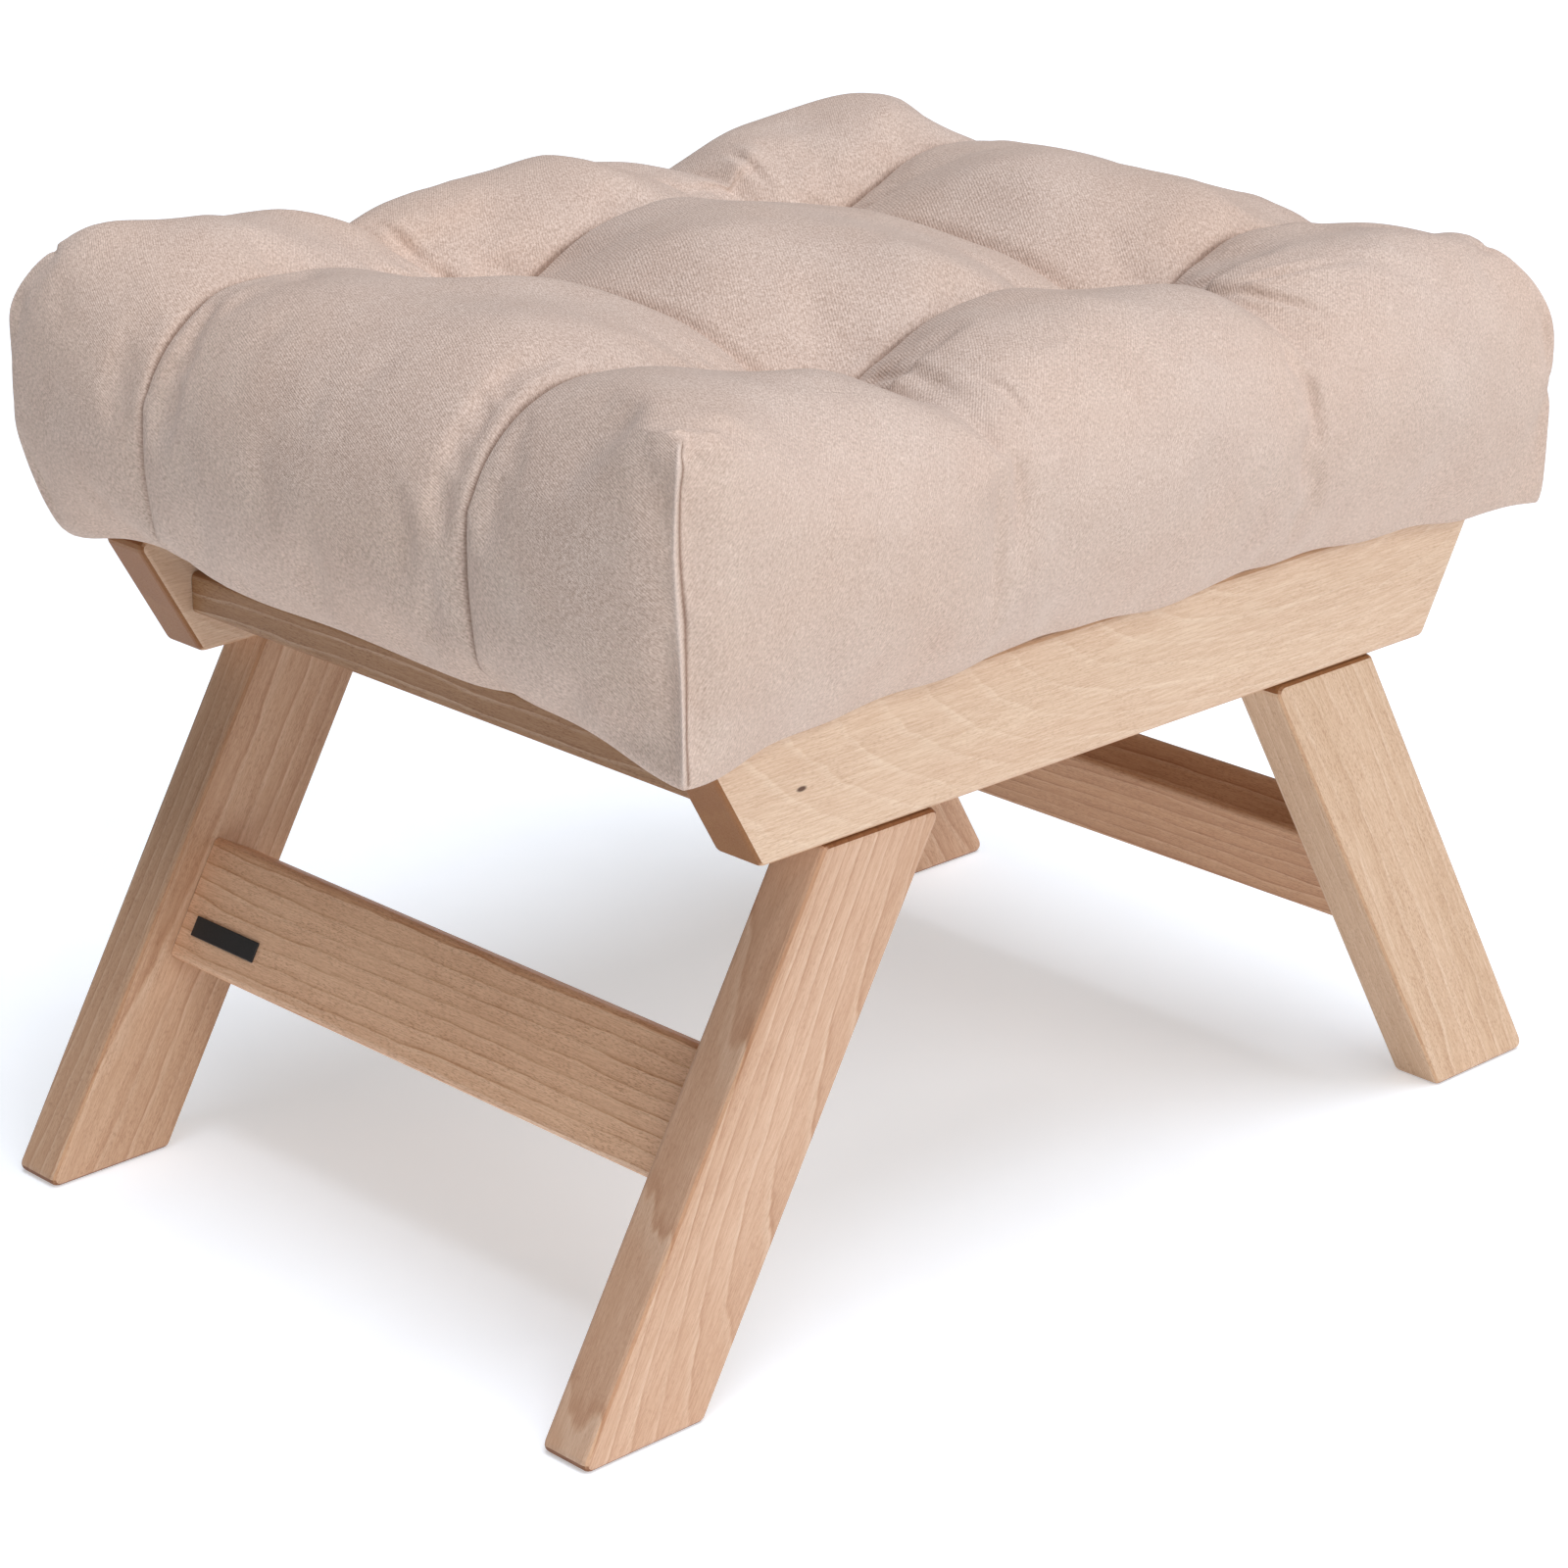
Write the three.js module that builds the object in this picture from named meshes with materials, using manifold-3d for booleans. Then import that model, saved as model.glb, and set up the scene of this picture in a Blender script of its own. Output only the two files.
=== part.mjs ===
// A footstool: a beech frame on four splayed legs, with a loose cushion tufted at four points.
// Millimetres, +Z up. X runs across the stool, Y along its side rails, and the front faces -Y.
// The origin lies on the floor, under the middle of the seat.

import * as THREE from "three";
import { mergeVertices } from "three/addons/utils/BufferGeometryUtils.js";
import Module from "manifold-3d";

const wasm = await Module();
wasm.setup();

// The frame's driving dimensions.
const frameWidth = 400; // across the outer faces of the side rails
const railLength = 496; // along a side rail's top edge
const railDepth = 60; // height of a side rail
const boardThickness = 28; // rails and legs are cut from one board
const legHeight = 240; // floor to the underside of a side rail
const legWidth = 60; // square to the leg's long edges
const legSetback = 36.7; // rail's bottom corner to the leg's outer edge
const stretcherDepth = 60; // along the leg's slope
const stretcherThickness = 28;
const stretcherHeight = 116; // floor to the stretcher's middle
const slatWidth = 60;
const slatThickness = 20;
const slatSetback = 12.4; // rail's end to the outer edge of the end slat, at the slat's middle
const edgeRound = 3; // sanded long edges
const cornerRound = 4; // sanded corners of a board's face
const slope = THREE.MathUtils.degToRad(30); // legs and rail ends, from plumb

// Joinery and fasteners.
const fitGap = 0.3; // between pieces that meet, and round what sits in a hole
const dowelDiameter = 8;
const dowelLength = 36; // half of it in each piece
const dowelChamfer = 1.2;
const boltDiameter = 6;
const boltLength = 50; // under the head
const boltHeadDiameter = 10;
const boltHeadHeight = 6;
const socketWidth = 5; // across the flats of the hexagon socket
const socketDepth = 3;
const boltBoreDiameter = 7;
const washerDiameter = 14;
const washerThickness = 1.5;
const counterboreDiameter = 16;
const counterboreDepth = 30;
const insertDiameter = 10;
const insertLength = 20;
const cutOverrun = 5; // how far a cutting tool runs past an open face

// The cushion's driving dimensions.
const sideOverhang = 22; // cushion's corner beyond the outer face of a side rail
const endOverhang = 29; // cushion's corner beyond the end of a side rail
const cushionThickness = 146; // underside to the crown of a puff
const seamSpacing = 214; // between the two seams that run along the cushion
const tuftSpacing = 200; // between the two rows of tufts
const seamDepths = [ // [distance from the cushion's middle, drop from the crown] along a seam
  [0, 25],
  [50, 35],
  [80, 48],
  [100, 58],
  [120, 46],
  [150, 32],
  [205, 22],
  [277, 9],
];
const foldDepths = [ // the same along a cross fold
  [0, 30],
  [54, 35],
  [107, 58],
  [136, 38],
  [165, 22],
  [222, 8],
];
const hollowDepths = [ // [distance from a tuft, drop from the crown] round the tuft
  [0, 58],
  [28, 38],
  [45, 31],
  [60, 22],
  [80, 12],
  [100, 4],
  [125, 0],
];
const sidePuffDrop = 6; // from the crown to the middle of a puff beside it
const sideRimDrop = 22; // from a side puff's middle to the upper side edge
const frontRimDrop = 24; // from the crown to the upper front edge
const backRimDrop = 42; // from the crown to the upper back edge
const backCornerDrop = 14; // how much lower the upper back corners lie than the front ones
const edgeBulge = 8; // how far a side stands out between two corners
const upperRoll = 25; // how far the upper edge rolls in from the side
const lowerRoll = 22; // how far the lower edge rolls in from the side
const seamPinch = 5; // how far a seam is drawn into the front and back faces
const underSag = 12; // how far the underside hangs between the rails
const coverThickness = 1.6;
const tieDiameter = 3;
const tieHeadDiameter = 5; // the knot that widens upwards in the tuft
const tieHeadHeight = 2; // also how far the knot stands over the tuft's lowest point

// Shares and counts.
const slatCount = 4;
const slatDowelShare = 0.25; // each dowel's distance from the slat's middle, of its width
const stretcherDowelShare = 0.25; // the same for a stretcher, of its depth
const boltPlaceShare = -0.08; // from the middle of the leg's top outwards, of its length
const legDowelShare = 0.29;
const roundSteps = 2;
const bevelSteps = 3;
const holeSides = 12;
const fastenerSides = 16;
const needleSides = 6;
const cushionSteps = [12, 15, 3]; // facets across, along and up the cushion
const puffShare = 1 / 3; // three puffs each way take an equal share of the facets
const sagWidthShare = 1.5; // the sag ends before the rails, two thirds of the way out

// Sizes that follow.
const lean = Math.tan(slope);
const railBottomHalf = railLength / 2 - railDepth * lean;
const innerHalf = frameWidth / 2 - boardThickness;
const sideMiddle = frameWidth / 2 - boardThickness / 2;
const legCut = legWidth / Math.cos(slope); // length of the leg's cut top and foot
const legTopOuter = railBottomHalf - legSetback;
const legTopMiddle = legTopOuter - legCut / 2;
const railBottom = legHeight + fitGap;
const railTop = railBottom + railDepth;
const boltPlace = legTopMiddle + boltPlaceShare * legCut;
const legDowelPlace = legTopMiddle + legDowelShare * legCut;
const stretcherMiddle = legTopMiddle + (legHeight - stretcherHeight) * lean;
const barLength = innerHalf * 2 - fitGap * 2; // slats and stretchers, between rails or legs
const barEnd = barLength / 2 + fitGap / 2; // the middle of the gap at a bar's end
const dowelRadius = dowelDiameter / 2;
const dowelHoleRadius = dowelRadius + fitGap;
const dowelHoleLength = dowelLength + fitGap * 2;
const slatMiddleOuter =
  railLength / 2 - (railDepth / 2) * lean - slatSetback - slatWidth / 2;
const washerSeat = railDepth - counterboreDepth;
const cushionWidth = frameWidth + sideOverhang * 2; // at its corners, half way up
const cushionLength = railLength + endOverhang * 2;
const cushionBottom = railTop + fitGap;

function finish(color, roughness, metalness) {
  return new THREE.MeshStandardMaterial({ color, roughness, metalness });
}

const beech = () => finish(0xdcb795, 0.55, 0);
const dowelWood = () => finish(0xd9b98f, 0.7, 0);
const zincSteel = () => finish(0xb9bcc0, 0.35, 1);
const brass = () => finish(0xc2a15a, 0.4, 1);
const velour = () => finish(0xcdb8a9, 0.95, 0);
const fibre = () => finish(0xf1efe9, 1, 0);
const thread = () => finish(0xc4ad9c, 0.9, 0);

function solidFrom(geometry) {
  const bare = geometry.clone();
  bare.deleteAttribute("normal");
  bare.deleteAttribute("uv");
  const merged = mergeVertices(bare);
  return new wasm.Manifold(
    new wasm.Mesh({
      numProp: 3,
      vertProperties: merged.attributes.position.array,
      triVerts: new Uint32Array(merged.index.array),
    }),
  );
}

function geometryFrom(solid) {
  const { vertProperties, triVerts } = solid.getMesh();
  const indexed = new THREE.BufferGeometry();
  indexed.setAttribute("position", new THREE.BufferAttribute(vertProperties, 3));
  indexed.setIndex(new THREE.BufferAttribute(triVerts, 1));
  const geometry = indexed.toNonIndexed();
  geometry.computeVertexNormals();
  return geometry;
}

function cutFrom(geometry, cutters) {
  const solids = cutters.map(solidFrom);
  return geometryFrom(
    solids.reduce((left, cutter) => left.subtract(cutter), solidFrom(geometry)),
  );
}

function piece(name, geometry, material, x = 0, y = 0, z = 0) {
  const mesh = new THREE.Mesh(geometry, material);
  mesh.name = name;
  mesh.position.set(x, y, z);
  return mesh;
}

// A rod that lies along X or stands along Z, about its own middle.
function rodAlongX(radius, length, sides) {
  return new THREE.CylinderGeometry(radius, radius, length, sides).rotateZ(Math.PI / 2);
}

function rodAlongZ(radius, length, sides) {
  return new THREE.CylinderGeometry(radius, radius, length, sides).rotateX(Math.PI / 2);
}

// A polygon, its corners listed counterclockwise, with every corner turned into an arc.
function roundedShape(corners, radius) {
  const shape = new THREE.Shape();
  corners.forEach((corner, i) => {
    const before = corners[(i + corners.length - 1) % corners.length];
    const after = corners[(i + 1) % corners.length];
    const arriving = corner.clone().sub(before).normalize();
    const leaving = after.clone().sub(corner).normalize();
    const turn = Math.acos(arriving.dot(leaving));
    const bisector = leaving.clone().sub(arriving).normalize();
    const middle = corner.clone().addScaledVector(bisector, radius / Math.cos(turn / 2));
    const start = arriving.angle() - Math.PI / 2;
    shape.absarc(middle.x, middle.y, radius, start, start + turn, false);
  });
  shape.closePath();
  return shape;
}

// Turns an outline drawn as (y, z) and extruded into the side view, with its thickness along X.
const outlineToSide = new THREE.Matrix4().makeBasis(
  new THREE.Vector3(0, 1, 0),
  new THREE.Vector3(0, 0, 1),
  new THREE.Vector3(1, 0, 0),
);

// A board whose face lies in the YZ plane and whose thickness runs along X, eased all round.
function easedBoard(corners, thickness) {
  const depth = thickness - edgeRound * 2;
  const geometry = new THREE.ExtrudeGeometry(roundedShape(corners, cornerRound), {
    depth,
    curveSegments: roundSteps,
    bevelSegments: bevelSteps,
    bevelThickness: edgeRound,
    bevelSize: edgeRound,
    bevelOffset: -edgeRound,
  });
  return geometry.translate(0, 0, -depth / 2).applyMatrix4(outlineToSide);
}

// A bar along X with eased long edges and square ends, about its own middle.
function crossBar(width, thickness, length) {
  const corners = [
    new THREE.Vector2(-width / 2, -thickness / 2),
    new THREE.Vector2(width / 2, -thickness / 2),
    new THREE.Vector2(width / 2, thickness / 2),
    new THREE.Vector2(-width / 2, thickness / 2),
  ];
  const geometry = new THREE.ExtrudeGeometry(roundedShape(corners, edgeRound), {
    depth: length,
    curveSegments: roundSteps,
    bevelEnabled: false,
  });
  return geometry.translate(0, 0, -length / 2).applyMatrix4(outlineToSide);
}

// The holes for a dowel, centred in the gap between two pieces: each piece keeps its own half.
function dowelHoleAlongX(x, y, z) {
  return rodAlongX(dowelHoleRadius, dowelHoleLength, holeSides).translate(x, y, z);
}

function dowelHoleAlongZ(x, y, z) {
  return rodAlongZ(dowelHoleRadius, dowelHoleLength, holeSides).translate(x, y, z);
}

function dowel() {
  const half = dowelLength / 2;
  const outline = [
    new THREE.Vector2(0, -half),
    new THREE.Vector2(dowelRadius - dowelChamfer, -half),
    new THREE.Vector2(dowelRadius, dowelChamfer - half),
    new THREE.Vector2(dowelRadius, half - dowelChamfer),
    new THREE.Vector2(dowelRadius - dowelChamfer, half),
    new THREE.Vector2(0, half),
  ];
  return new THREE.LatheGeometry(outline, holeSides);
}

const dowelAlongX = () => dowel().rotateZ(Math.PI / 2);
const dowelAlongZ = () => dowel().rotateX(Math.PI / 2);

function slatPlaces() {
  const step = (slatMiddleOuter * 2) / (slatCount - 1);
  return Array.from({ length: slatCount }, (_, i) => -slatMiddleOuter + step * i);
}

function dowelOffsets(size, share) {
  return [-size * share, size * share];
}

// A side rail: a trapezium, longer along its top edge, bored for slats, bolts and leg dowels.
// Its own origin is the middle of its underside, and inward is the side its slats are on.
function railGeometry(inward) {
  const corners = [
    new THREE.Vector2(-railBottomHalf, 0),
    new THREE.Vector2(railBottomHalf, 0),
    new THREE.Vector2(railLength / 2, railDepth),
    new THREE.Vector2(-railLength / 2, railDepth),
  ];
  const slatHoleX = inward * (sideMiddle - barEnd);
  const slatHoles = slatPlaces().flatMap((y) =>
    dowelOffsets(slatWidth, slatDowelShare).map((offset) =>
      dowelHoleAlongX(slatHoleX, y + offset, railDepth / 2),
    ),
  );
  const boreLength = railDepth + cutOverrun * 2;
  const sinkLength = counterboreDepth + cutOverrun;
  const legHoles = [-1, 1].flatMap((end) => [
    rodAlongZ(boltBoreDiameter / 2, boreLength, fastenerSides).translate(
      0,
      end * boltPlace,
      railDepth / 2,
    ),
    rodAlongZ(counterboreDiameter / 2, sinkLength, fastenerSides).translate(
      0,
      end * boltPlace,
      washerSeat + sinkLength / 2,
    ),
    dowelHoleAlongZ(0, end * legDowelPlace, -fitGap / 2),
  ]);
  return cutFrom(easedBoard(corners, boardThickness), [...slatHoles, ...legHoles]);
}

function slatGeometry() {
  const holes = [-1, 1].flatMap((side) =>
    dowelOffsets(slatWidth, slatDowelShare).map((offset) =>
      dowelHoleAlongX(side * barEnd, offset, 0),
    ),
  );
  return cutFrom(crossBar(slatWidth, slatThickness, barLength), holes);
}

function stretcherGeometry() {
  const holes = [-1, 1].flatMap((side) =>
    dowelOffsets(stretcherDepth, stretcherDowelShare).map((offset) =>
      dowelHoleAlongX(side * barEnd, 0, offset),
    ),
  );
  return cutFrom(crossBar(stretcherThickness, stretcherDepth, barLength), holes);
}

// A leg of the back pair, leaning out towards +Y, with its middle plane at x = 0.
function legGeometry(inward) {
  const reach = legHeight * lean;
  const corners = [
    new THREE.Vector2(legTopOuter - legCut + reach, 0),
    new THREE.Vector2(legTopOuter + reach, 0),
    new THREE.Vector2(legTopOuter, legHeight),
    new THREE.Vector2(legTopOuter - legCut, legHeight),
  ];
  const stretcherHoles = dowelOffsets(stretcherDepth, stretcherDowelShare).map((offset) =>
    dowelHoleAlongX(
      inward * (sideMiddle - barEnd),
      stretcherMiddle - offset * Math.sin(slope),
      stretcherHeight + offset * Math.cos(slope),
    ),
  );
  const insertHoleLength = insertLength + fitGap + cutOverrun;
  const insertHole = rodAlongZ(
    insertDiameter / 2 + fitGap,
    insertHoleLength,
    fastenerSides,
  ).translate(0, boltPlace, legHeight + cutOverrun - insertHoleLength / 2);
  const topHole = dowelHoleAlongZ(0, legDowelPlace, legHeight + fitGap / 2);
  return cutFrom(easedBoard(corners, boardThickness), [
    ...stretcherHoles,
    insertHole,
    topHole,
  ]);
}

// A socket head bolt that stands head up, with its origin under the head.
function boltGeometry() {
  const shank = boltDiameter / 2;
  const head = boltHeadDiameter / 2;
  const outline = [
    new THREE.Vector2(0, -boltLength),
    new THREE.Vector2(shank, -boltLength),
    new THREE.Vector2(shank, 0),
    new THREE.Vector2(head, 0),
    new THREE.Vector2(head, boltHeadHeight),
    new THREE.Vector2(0, boltHeadHeight),
  ];
  const blank = new THREE.LatheGeometry(outline, fastenerSides).rotateX(Math.PI / 2);
  const socketRadius = socketWidth / 2 / Math.cos(Math.PI / 6);
  const socketCut = socketDepth + cutOverrun;
  const socket = rodAlongZ(socketRadius, socketCut, 6).translate(
    0,
    0,
    boltHeadHeight - socketDepth + socketCut / 2,
  );
  return cutFrom(blank, [socket]);
}

// A ring with its underside at its own origin.
function ringGeometry(outer, bore, height) {
  const outline = [
    new THREE.Vector2(bore / 2, 0),
    new THREE.Vector2(outer / 2, 0),
    new THREE.Vector2(outer / 2, height),
    new THREE.Vector2(bore / 2, height),
    new THREE.Vector2(bore / 2, 0),
  ];
  return new THREE.LatheGeometry(outline, fastenerSides).rotateX(Math.PI / 2);
}

// A share from -1 to 1 across the facets, mapped so that the seam or tuft line takes its place.
function spread(share, lineShare) {
  const size = Math.abs(share);
  const outerPart = (size - puffShare) / (1 - puffShare);
  const placed =
    size <= puffShare
      ? (size / puffShare) * lineShare
      : lineShare + outerPart * (1 - lineShare);
  return Math.sign(share) * placed;
}

// 1 on the line between two puffs and 0 at a puff's middle and beyond it.
function valley(share) {
  const size = Math.abs(share);
  return size < puffShare * 2 ? Math.sin((size / puffShare) * (Math.PI / 2)) ** 5 : 0;
}

// The drop that a table gives at a distance, between its two nearest rows.
function dropAt(table, distance) {
  const after = table.findIndex(([place]) => place >= distance);
  if (after < 1) return table.at(after)[1];
  const [start, low] = table[after - 1];
  const [end, high] = table[after];
  return low + ((high - low) * (distance - start)) / (end - start);
}

// How far a point of the cushion's upper side lies below the crown.
function crownDrop(across, along) {
  const edgeX = Math.abs(across) ** 5;
  const edgeY = Math.abs(along) ** 5;
  const x = (Math.abs(spread(across, seamSpacing / cushionWidth)) * cushionWidth) / 2;
  const y = (Math.abs(spread(along, tuftSpacing / cushionLength)) * cushionLength) / 2;
  const pulled = Math.max(
    dropAt(seamDepths, y) * valley(across),
    dropAt(foldDepths, x) * valley(along),
    dropAt(hollowDepths, Math.hypot(x - seamSpacing / 2, y - tuftSpacing / 2)),
  );
  const endRimDrop = along > 0 ? backRimDrop : frontRimDrop;
  const cornerDrop = along > 0 ? backCornerDrop : 0;
  const rim =
    sideRimDrop * edgeX * (1 - along ** 4) + endRimDrop * edgeY * (1 - Math.abs(across));
  const sideDrop = sidePuffDrop * Math.min(1, Math.abs(across) * 2) ** 4;
  return pulled + rim + sideDrop + cornerDrop * edgeX * edgeY;
}

// A point of the cushion's skin. The shares run from -1 to 1 across, along and up the pad,
// and inset draws the whole skin in, for the inside of the cover and for the filling.
function cushionPoint(across, along, up, inset) {
  const roll = (up > 0 ? upperRoll : lowerRoll) * up ** 4;
  const outX = edgeBulge * (1 - along ** 2) - roll;
  const outY = edgeBulge * (1 - across ** 2) - roll - seamPinch * valley(across);
  const halfX = cushionWidth / 2 - inset + outX * Math.abs(across) ** 5;
  const halfY = cushionLength / 2 - inset + outY * Math.abs(along) ** 5;
  const sagShare =
    Math.max(0, 1 - (across * sagWidthShare) ** 2) *
    (1 - along ** 4) *
    (1 - valley(across) * valley(along));
  const base = inset - underSag * sagShare;
  const top = cushionThickness - crownDrop(across, along) - inset;
  return new THREE.Vector3(
    spread(across, seamSpacing / cushionWidth) * halfX,
    spread(along, tuftSpacing / cushionLength) * halfY,
    base + (top - base) * ((up + 1) / 2),
  );
}

function cushionSkin(inset) {
  const skin = new THREE.BoxGeometry(1, 1, 1, ...cushionSteps);
  const { position } = skin.attributes;
  for (let i = 0; i < position.count; i += 1) {
    const shares = new THREE.Vector3().fromBufferAttribute(position, i).multiplyScalar(2);
    const point = cushionPoint(shares.x, shares.y, shares.z, inset);
    position.setXYZ(i, point.x, point.y, point.z);
  }
  return skin;
}

function tuftPlaces() {
  const tuft = cushionPoint(puffShare, puffShare, 1, 0);
  return { x: tuft.x, y: tuft.y, top: tuft.z };
}

// The needle holes that the four ties pass through, from under the pad to over it.
function needleHoles() {
  const { x, y } = tuftPlaces();
  const length = cushionThickness + cutOverrun * 2;
  const radius = tieDiameter / 2 + fitGap;
  return [-1, 1].flatMap((side) =>
    [-1, 1].map((end) =>
      rodAlongZ(radius, length, needleSides).translate(
        side * x,
        end * y,
        length / 2 - cutOverrun,
      ),
    ),
  );
}

function coverGeometry() {
  return cutFrom(cushionSkin(0), [cushionSkin(coverThickness), ...needleHoles()]);
}

function fillingGeometry() {
  return cutFrom(cushionSkin(coverThickness + fitGap), needleHoles());
}

// One tie: a twine through the pad, with a knot over the cover that fills the bottom of the tuft.
function tieGeometry() {
  const shank = tieDiameter / 2;
  const head = tieHeadDiameter / 2;
  const seat = tuftPlaces().top + tieHeadHeight;
  const outline = [
    new THREE.Vector2(0, 0),
    new THREE.Vector2(shank, 0),
    new THREE.Vector2(shank, seat),
    new THREE.Vector2(head, seat + tieHeadHeight),
    new THREE.Vector2(0, seat + tieHeadHeight),
  ];
  return new THREE.LatheGeometry(outline, needleSides).rotateX(Math.PI / 2);
}

function seatFrame() {
  const group = new THREE.Group();
  group.position.z = railBottom;
  for (const [sideName, side] of [["left", -1], ["right", 1]]) {
    group.add(
      piece(`side_rail_${sideName}`, railGeometry(-side), beech(), side * sideMiddle),
    );
  }
  slatPlaces().forEach((y, i) => {
    const number = i + 1;
    group.add(piece(`seat_slat_${number}`, slatGeometry(), beech(), 0, y, railDepth / 2));
    for (const [sideName, side] of [["left", -1], ["right", 1]]) {
      dowelOffsets(slatWidth, slatDowelShare).forEach((offset, j) => {
        const name = `slat_${number}_dowel_${sideName}_${j + 1}`;
        const place = [side * barEnd, y + offset, railDepth / 2];
        group.add(piece(name, dowelAlongX(), dowelWood(), ...place));
      });
    }
  });
  return group;
}

// A pair of legs with the stretcher between them, built as the back pair.
// The front pair is the same, turned half round.
function legPair(endName, turn) {
  const group = new THREE.Group();
  group.rotation.z = turn;
  const sides = turn === 0 ? { left: -1, right: 1 } : { left: 1, right: -1 };
  const bar = new THREE.Group();
  bar.position.set(0, stretcherMiddle, stretcherHeight);
  bar.rotation.x = slope;
  bar.add(piece(`stretcher_${endName}`, stretcherGeometry(), beech()));
  group.add(bar);
  for (const [sideName, side] of Object.entries(sides)) {
    const corner = `${endName}_${sideName}`;
    const x = side * sideMiddle;
    const seat = railBottom + washerSeat + fitGap;
    group.add(
      piece(`leg_${corner}`, legGeometry(-side), beech(), x),
      piece(
        `leg_dowel_${corner}`,
        dowelAlongZ(),
        dowelWood(),
        x,
        legDowelPlace,
        legHeight + fitGap / 2,
      ),
      piece(
        `leg_insert_${corner}`,
        ringGeometry(insertDiameter, boltDiameter + fitGap * 2, insertLength),
        brass(),
        x,
        boltPlace,
        legHeight - insertLength,
      ),
      piece(
        `bolt_washer_${corner}`,
        ringGeometry(washerDiameter, boltDiameter + fitGap * 2, washerThickness),
        zincSteel(),
        x,
        boltPlace,
        seat,
      ),
      piece(
        `leg_bolt_${corner}`,
        boltGeometry(),
        zincSteel(),
        x,
        boltPlace,
        seat + washerThickness + fitGap,
      ),
    );
    dowelOffsets(stretcherDepth, stretcherDowelShare).forEach((offset, j) => {
      const name = `stretcher_dowel_${corner}_${j + 1}`;
      bar.add(piece(name, dowelAlongX(), dowelWood(), side * barEnd, 0, offset));
    });
  }
  return group;
}

function cushion() {
  const group = new THREE.Group();
  group.position.z = cushionBottom;
  const { x, y } = tuftPlaces();
  group.add(
    piece("cushion_cover", coverGeometry(), velour()),
    piece("cushion_filling", fillingGeometry(), fibre()),
  );
  for (const [endName, end] of [["front", -1], ["back", 1]]) {
    for (const [sideName, side] of [["left", -1], ["right", 1]]) {
      const name = `tuft_tie_${endName}_${sideName}`;
      group.add(piece(name, tieGeometry(), thread(), side * x, end * y));
    }
  }
  return group;
}

const footstool = new THREE.Group();
footstool.add(seatFrame(), legPair("front", Math.PI), legPair("back", 0), cushion());

export default footstool;
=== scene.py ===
"""The looks of a beech footstool with a loose tufted cushion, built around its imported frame."""

import math

import bmesh
import bpy
import numpy as np
from mathutils import Matrix, Vector


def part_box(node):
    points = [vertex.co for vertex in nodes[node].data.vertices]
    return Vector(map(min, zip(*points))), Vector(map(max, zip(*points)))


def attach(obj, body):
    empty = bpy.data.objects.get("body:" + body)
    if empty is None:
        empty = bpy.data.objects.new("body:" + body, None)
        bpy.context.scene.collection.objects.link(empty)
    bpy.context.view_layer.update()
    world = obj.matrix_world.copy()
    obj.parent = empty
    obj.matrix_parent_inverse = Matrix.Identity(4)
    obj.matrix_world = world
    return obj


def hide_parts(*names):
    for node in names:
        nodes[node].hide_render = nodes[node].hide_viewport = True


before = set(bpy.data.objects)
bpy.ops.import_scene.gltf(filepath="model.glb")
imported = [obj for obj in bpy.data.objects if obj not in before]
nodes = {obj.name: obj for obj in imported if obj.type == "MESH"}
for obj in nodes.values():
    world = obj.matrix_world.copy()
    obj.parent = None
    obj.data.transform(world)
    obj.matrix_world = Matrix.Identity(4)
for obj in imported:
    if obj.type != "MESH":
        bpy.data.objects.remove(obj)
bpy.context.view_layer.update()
scene = bpy.context.scene

MM = 0.001
# Measures closer than this are the same.
TOUCH = 1e-6

# Camera, fitted to the photograph's view of the frame. The lens and sensor are in millimetres,
# the angles in degrees.
LENS = 102.84
SENSOR = 36.0
VIEW_AZIMUTH = 45.9375
VIEW_ELEVATION = 20.5854
VIEW_ROLL = 0.176
VIEW_TARGET = Vector((-3.255, -4.422, 167.581)) * MM
VIEW_DISTANCE = 2109.916 * MM
FARTHEST_SEEN = 50


def add_camera():
    azimuth, elevation, roll = map(math.radians, (VIEW_AZIMUTH, VIEW_ELEVATION, VIEW_ROLL))
    back = Vector((
        math.sin(azimuth) * math.cos(elevation),
        -math.cos(azimuth) * math.cos(elevation),
        math.sin(elevation),
    ))
    level = (-back).cross(Vector((0, 0, 1))).normalized()
    upright = level.cross(-back)
    right = level * math.cos(roll) + upright * math.sin(roll)
    up = upright * math.cos(roll) - level * math.sin(roll)
    turn = Matrix((right, up, back)).transposed().to_4x4()
    data = bpy.data.cameras.new("photo_camera")
    data.lens = LENS
    data.sensor_width = SENSOR
    data.clip_end = FARTHEST_SEEN
    camera = bpy.data.objects.new("photo_camera", data)
    camera.matrix_world = Matrix.Translation(VIEW_TARGET + back * VIEW_DISTANCE) @ turn
    scene.collection.objects.link(camera)
    scene.camera = camera


# Soft light: a faint surround, a broad soft key overhead, a fill from the right, and a glowing
# floor. Each lamp has the way it comes from, its strength, its softness in degrees and its tint.
SURROUND = (1.0, 1.0, 1.0, 1.0)
SURROUND_STRENGTH = 0.075
LAMPS = {
    "key": ((0.17, -0.02, 0.985), 2.22, 38, (0.98, 1.035, 1.14)),
    "side_fill": ((0.867, -0.042, 0.497), 1.57, 50, (1.02, 1.035, 1.06)),
}
FLOOR_HALF = 9
FLOOR_CELLS = 8
FLOOR_TONES = ((0.705, 0.725, 0.745), (0.725, 0.745, 0.765))
FLOOR_GLOW = 0.43
FLOOR_GLOW_TINT = (0.98, 1.0, 1.02, 1.0)


def add_surround():
    world = bpy.data.worlds.new("pale_surround")
    world.use_nodes = True
    shade = world.node_tree.nodes["Background"]
    shade.inputs["Color"].default_value = SURROUND
    shade.inputs["Strength"].default_value = SURROUND_STRENGTH
    scene.world = world
    scene.view_settings.view_transform = "Standard"


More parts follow.
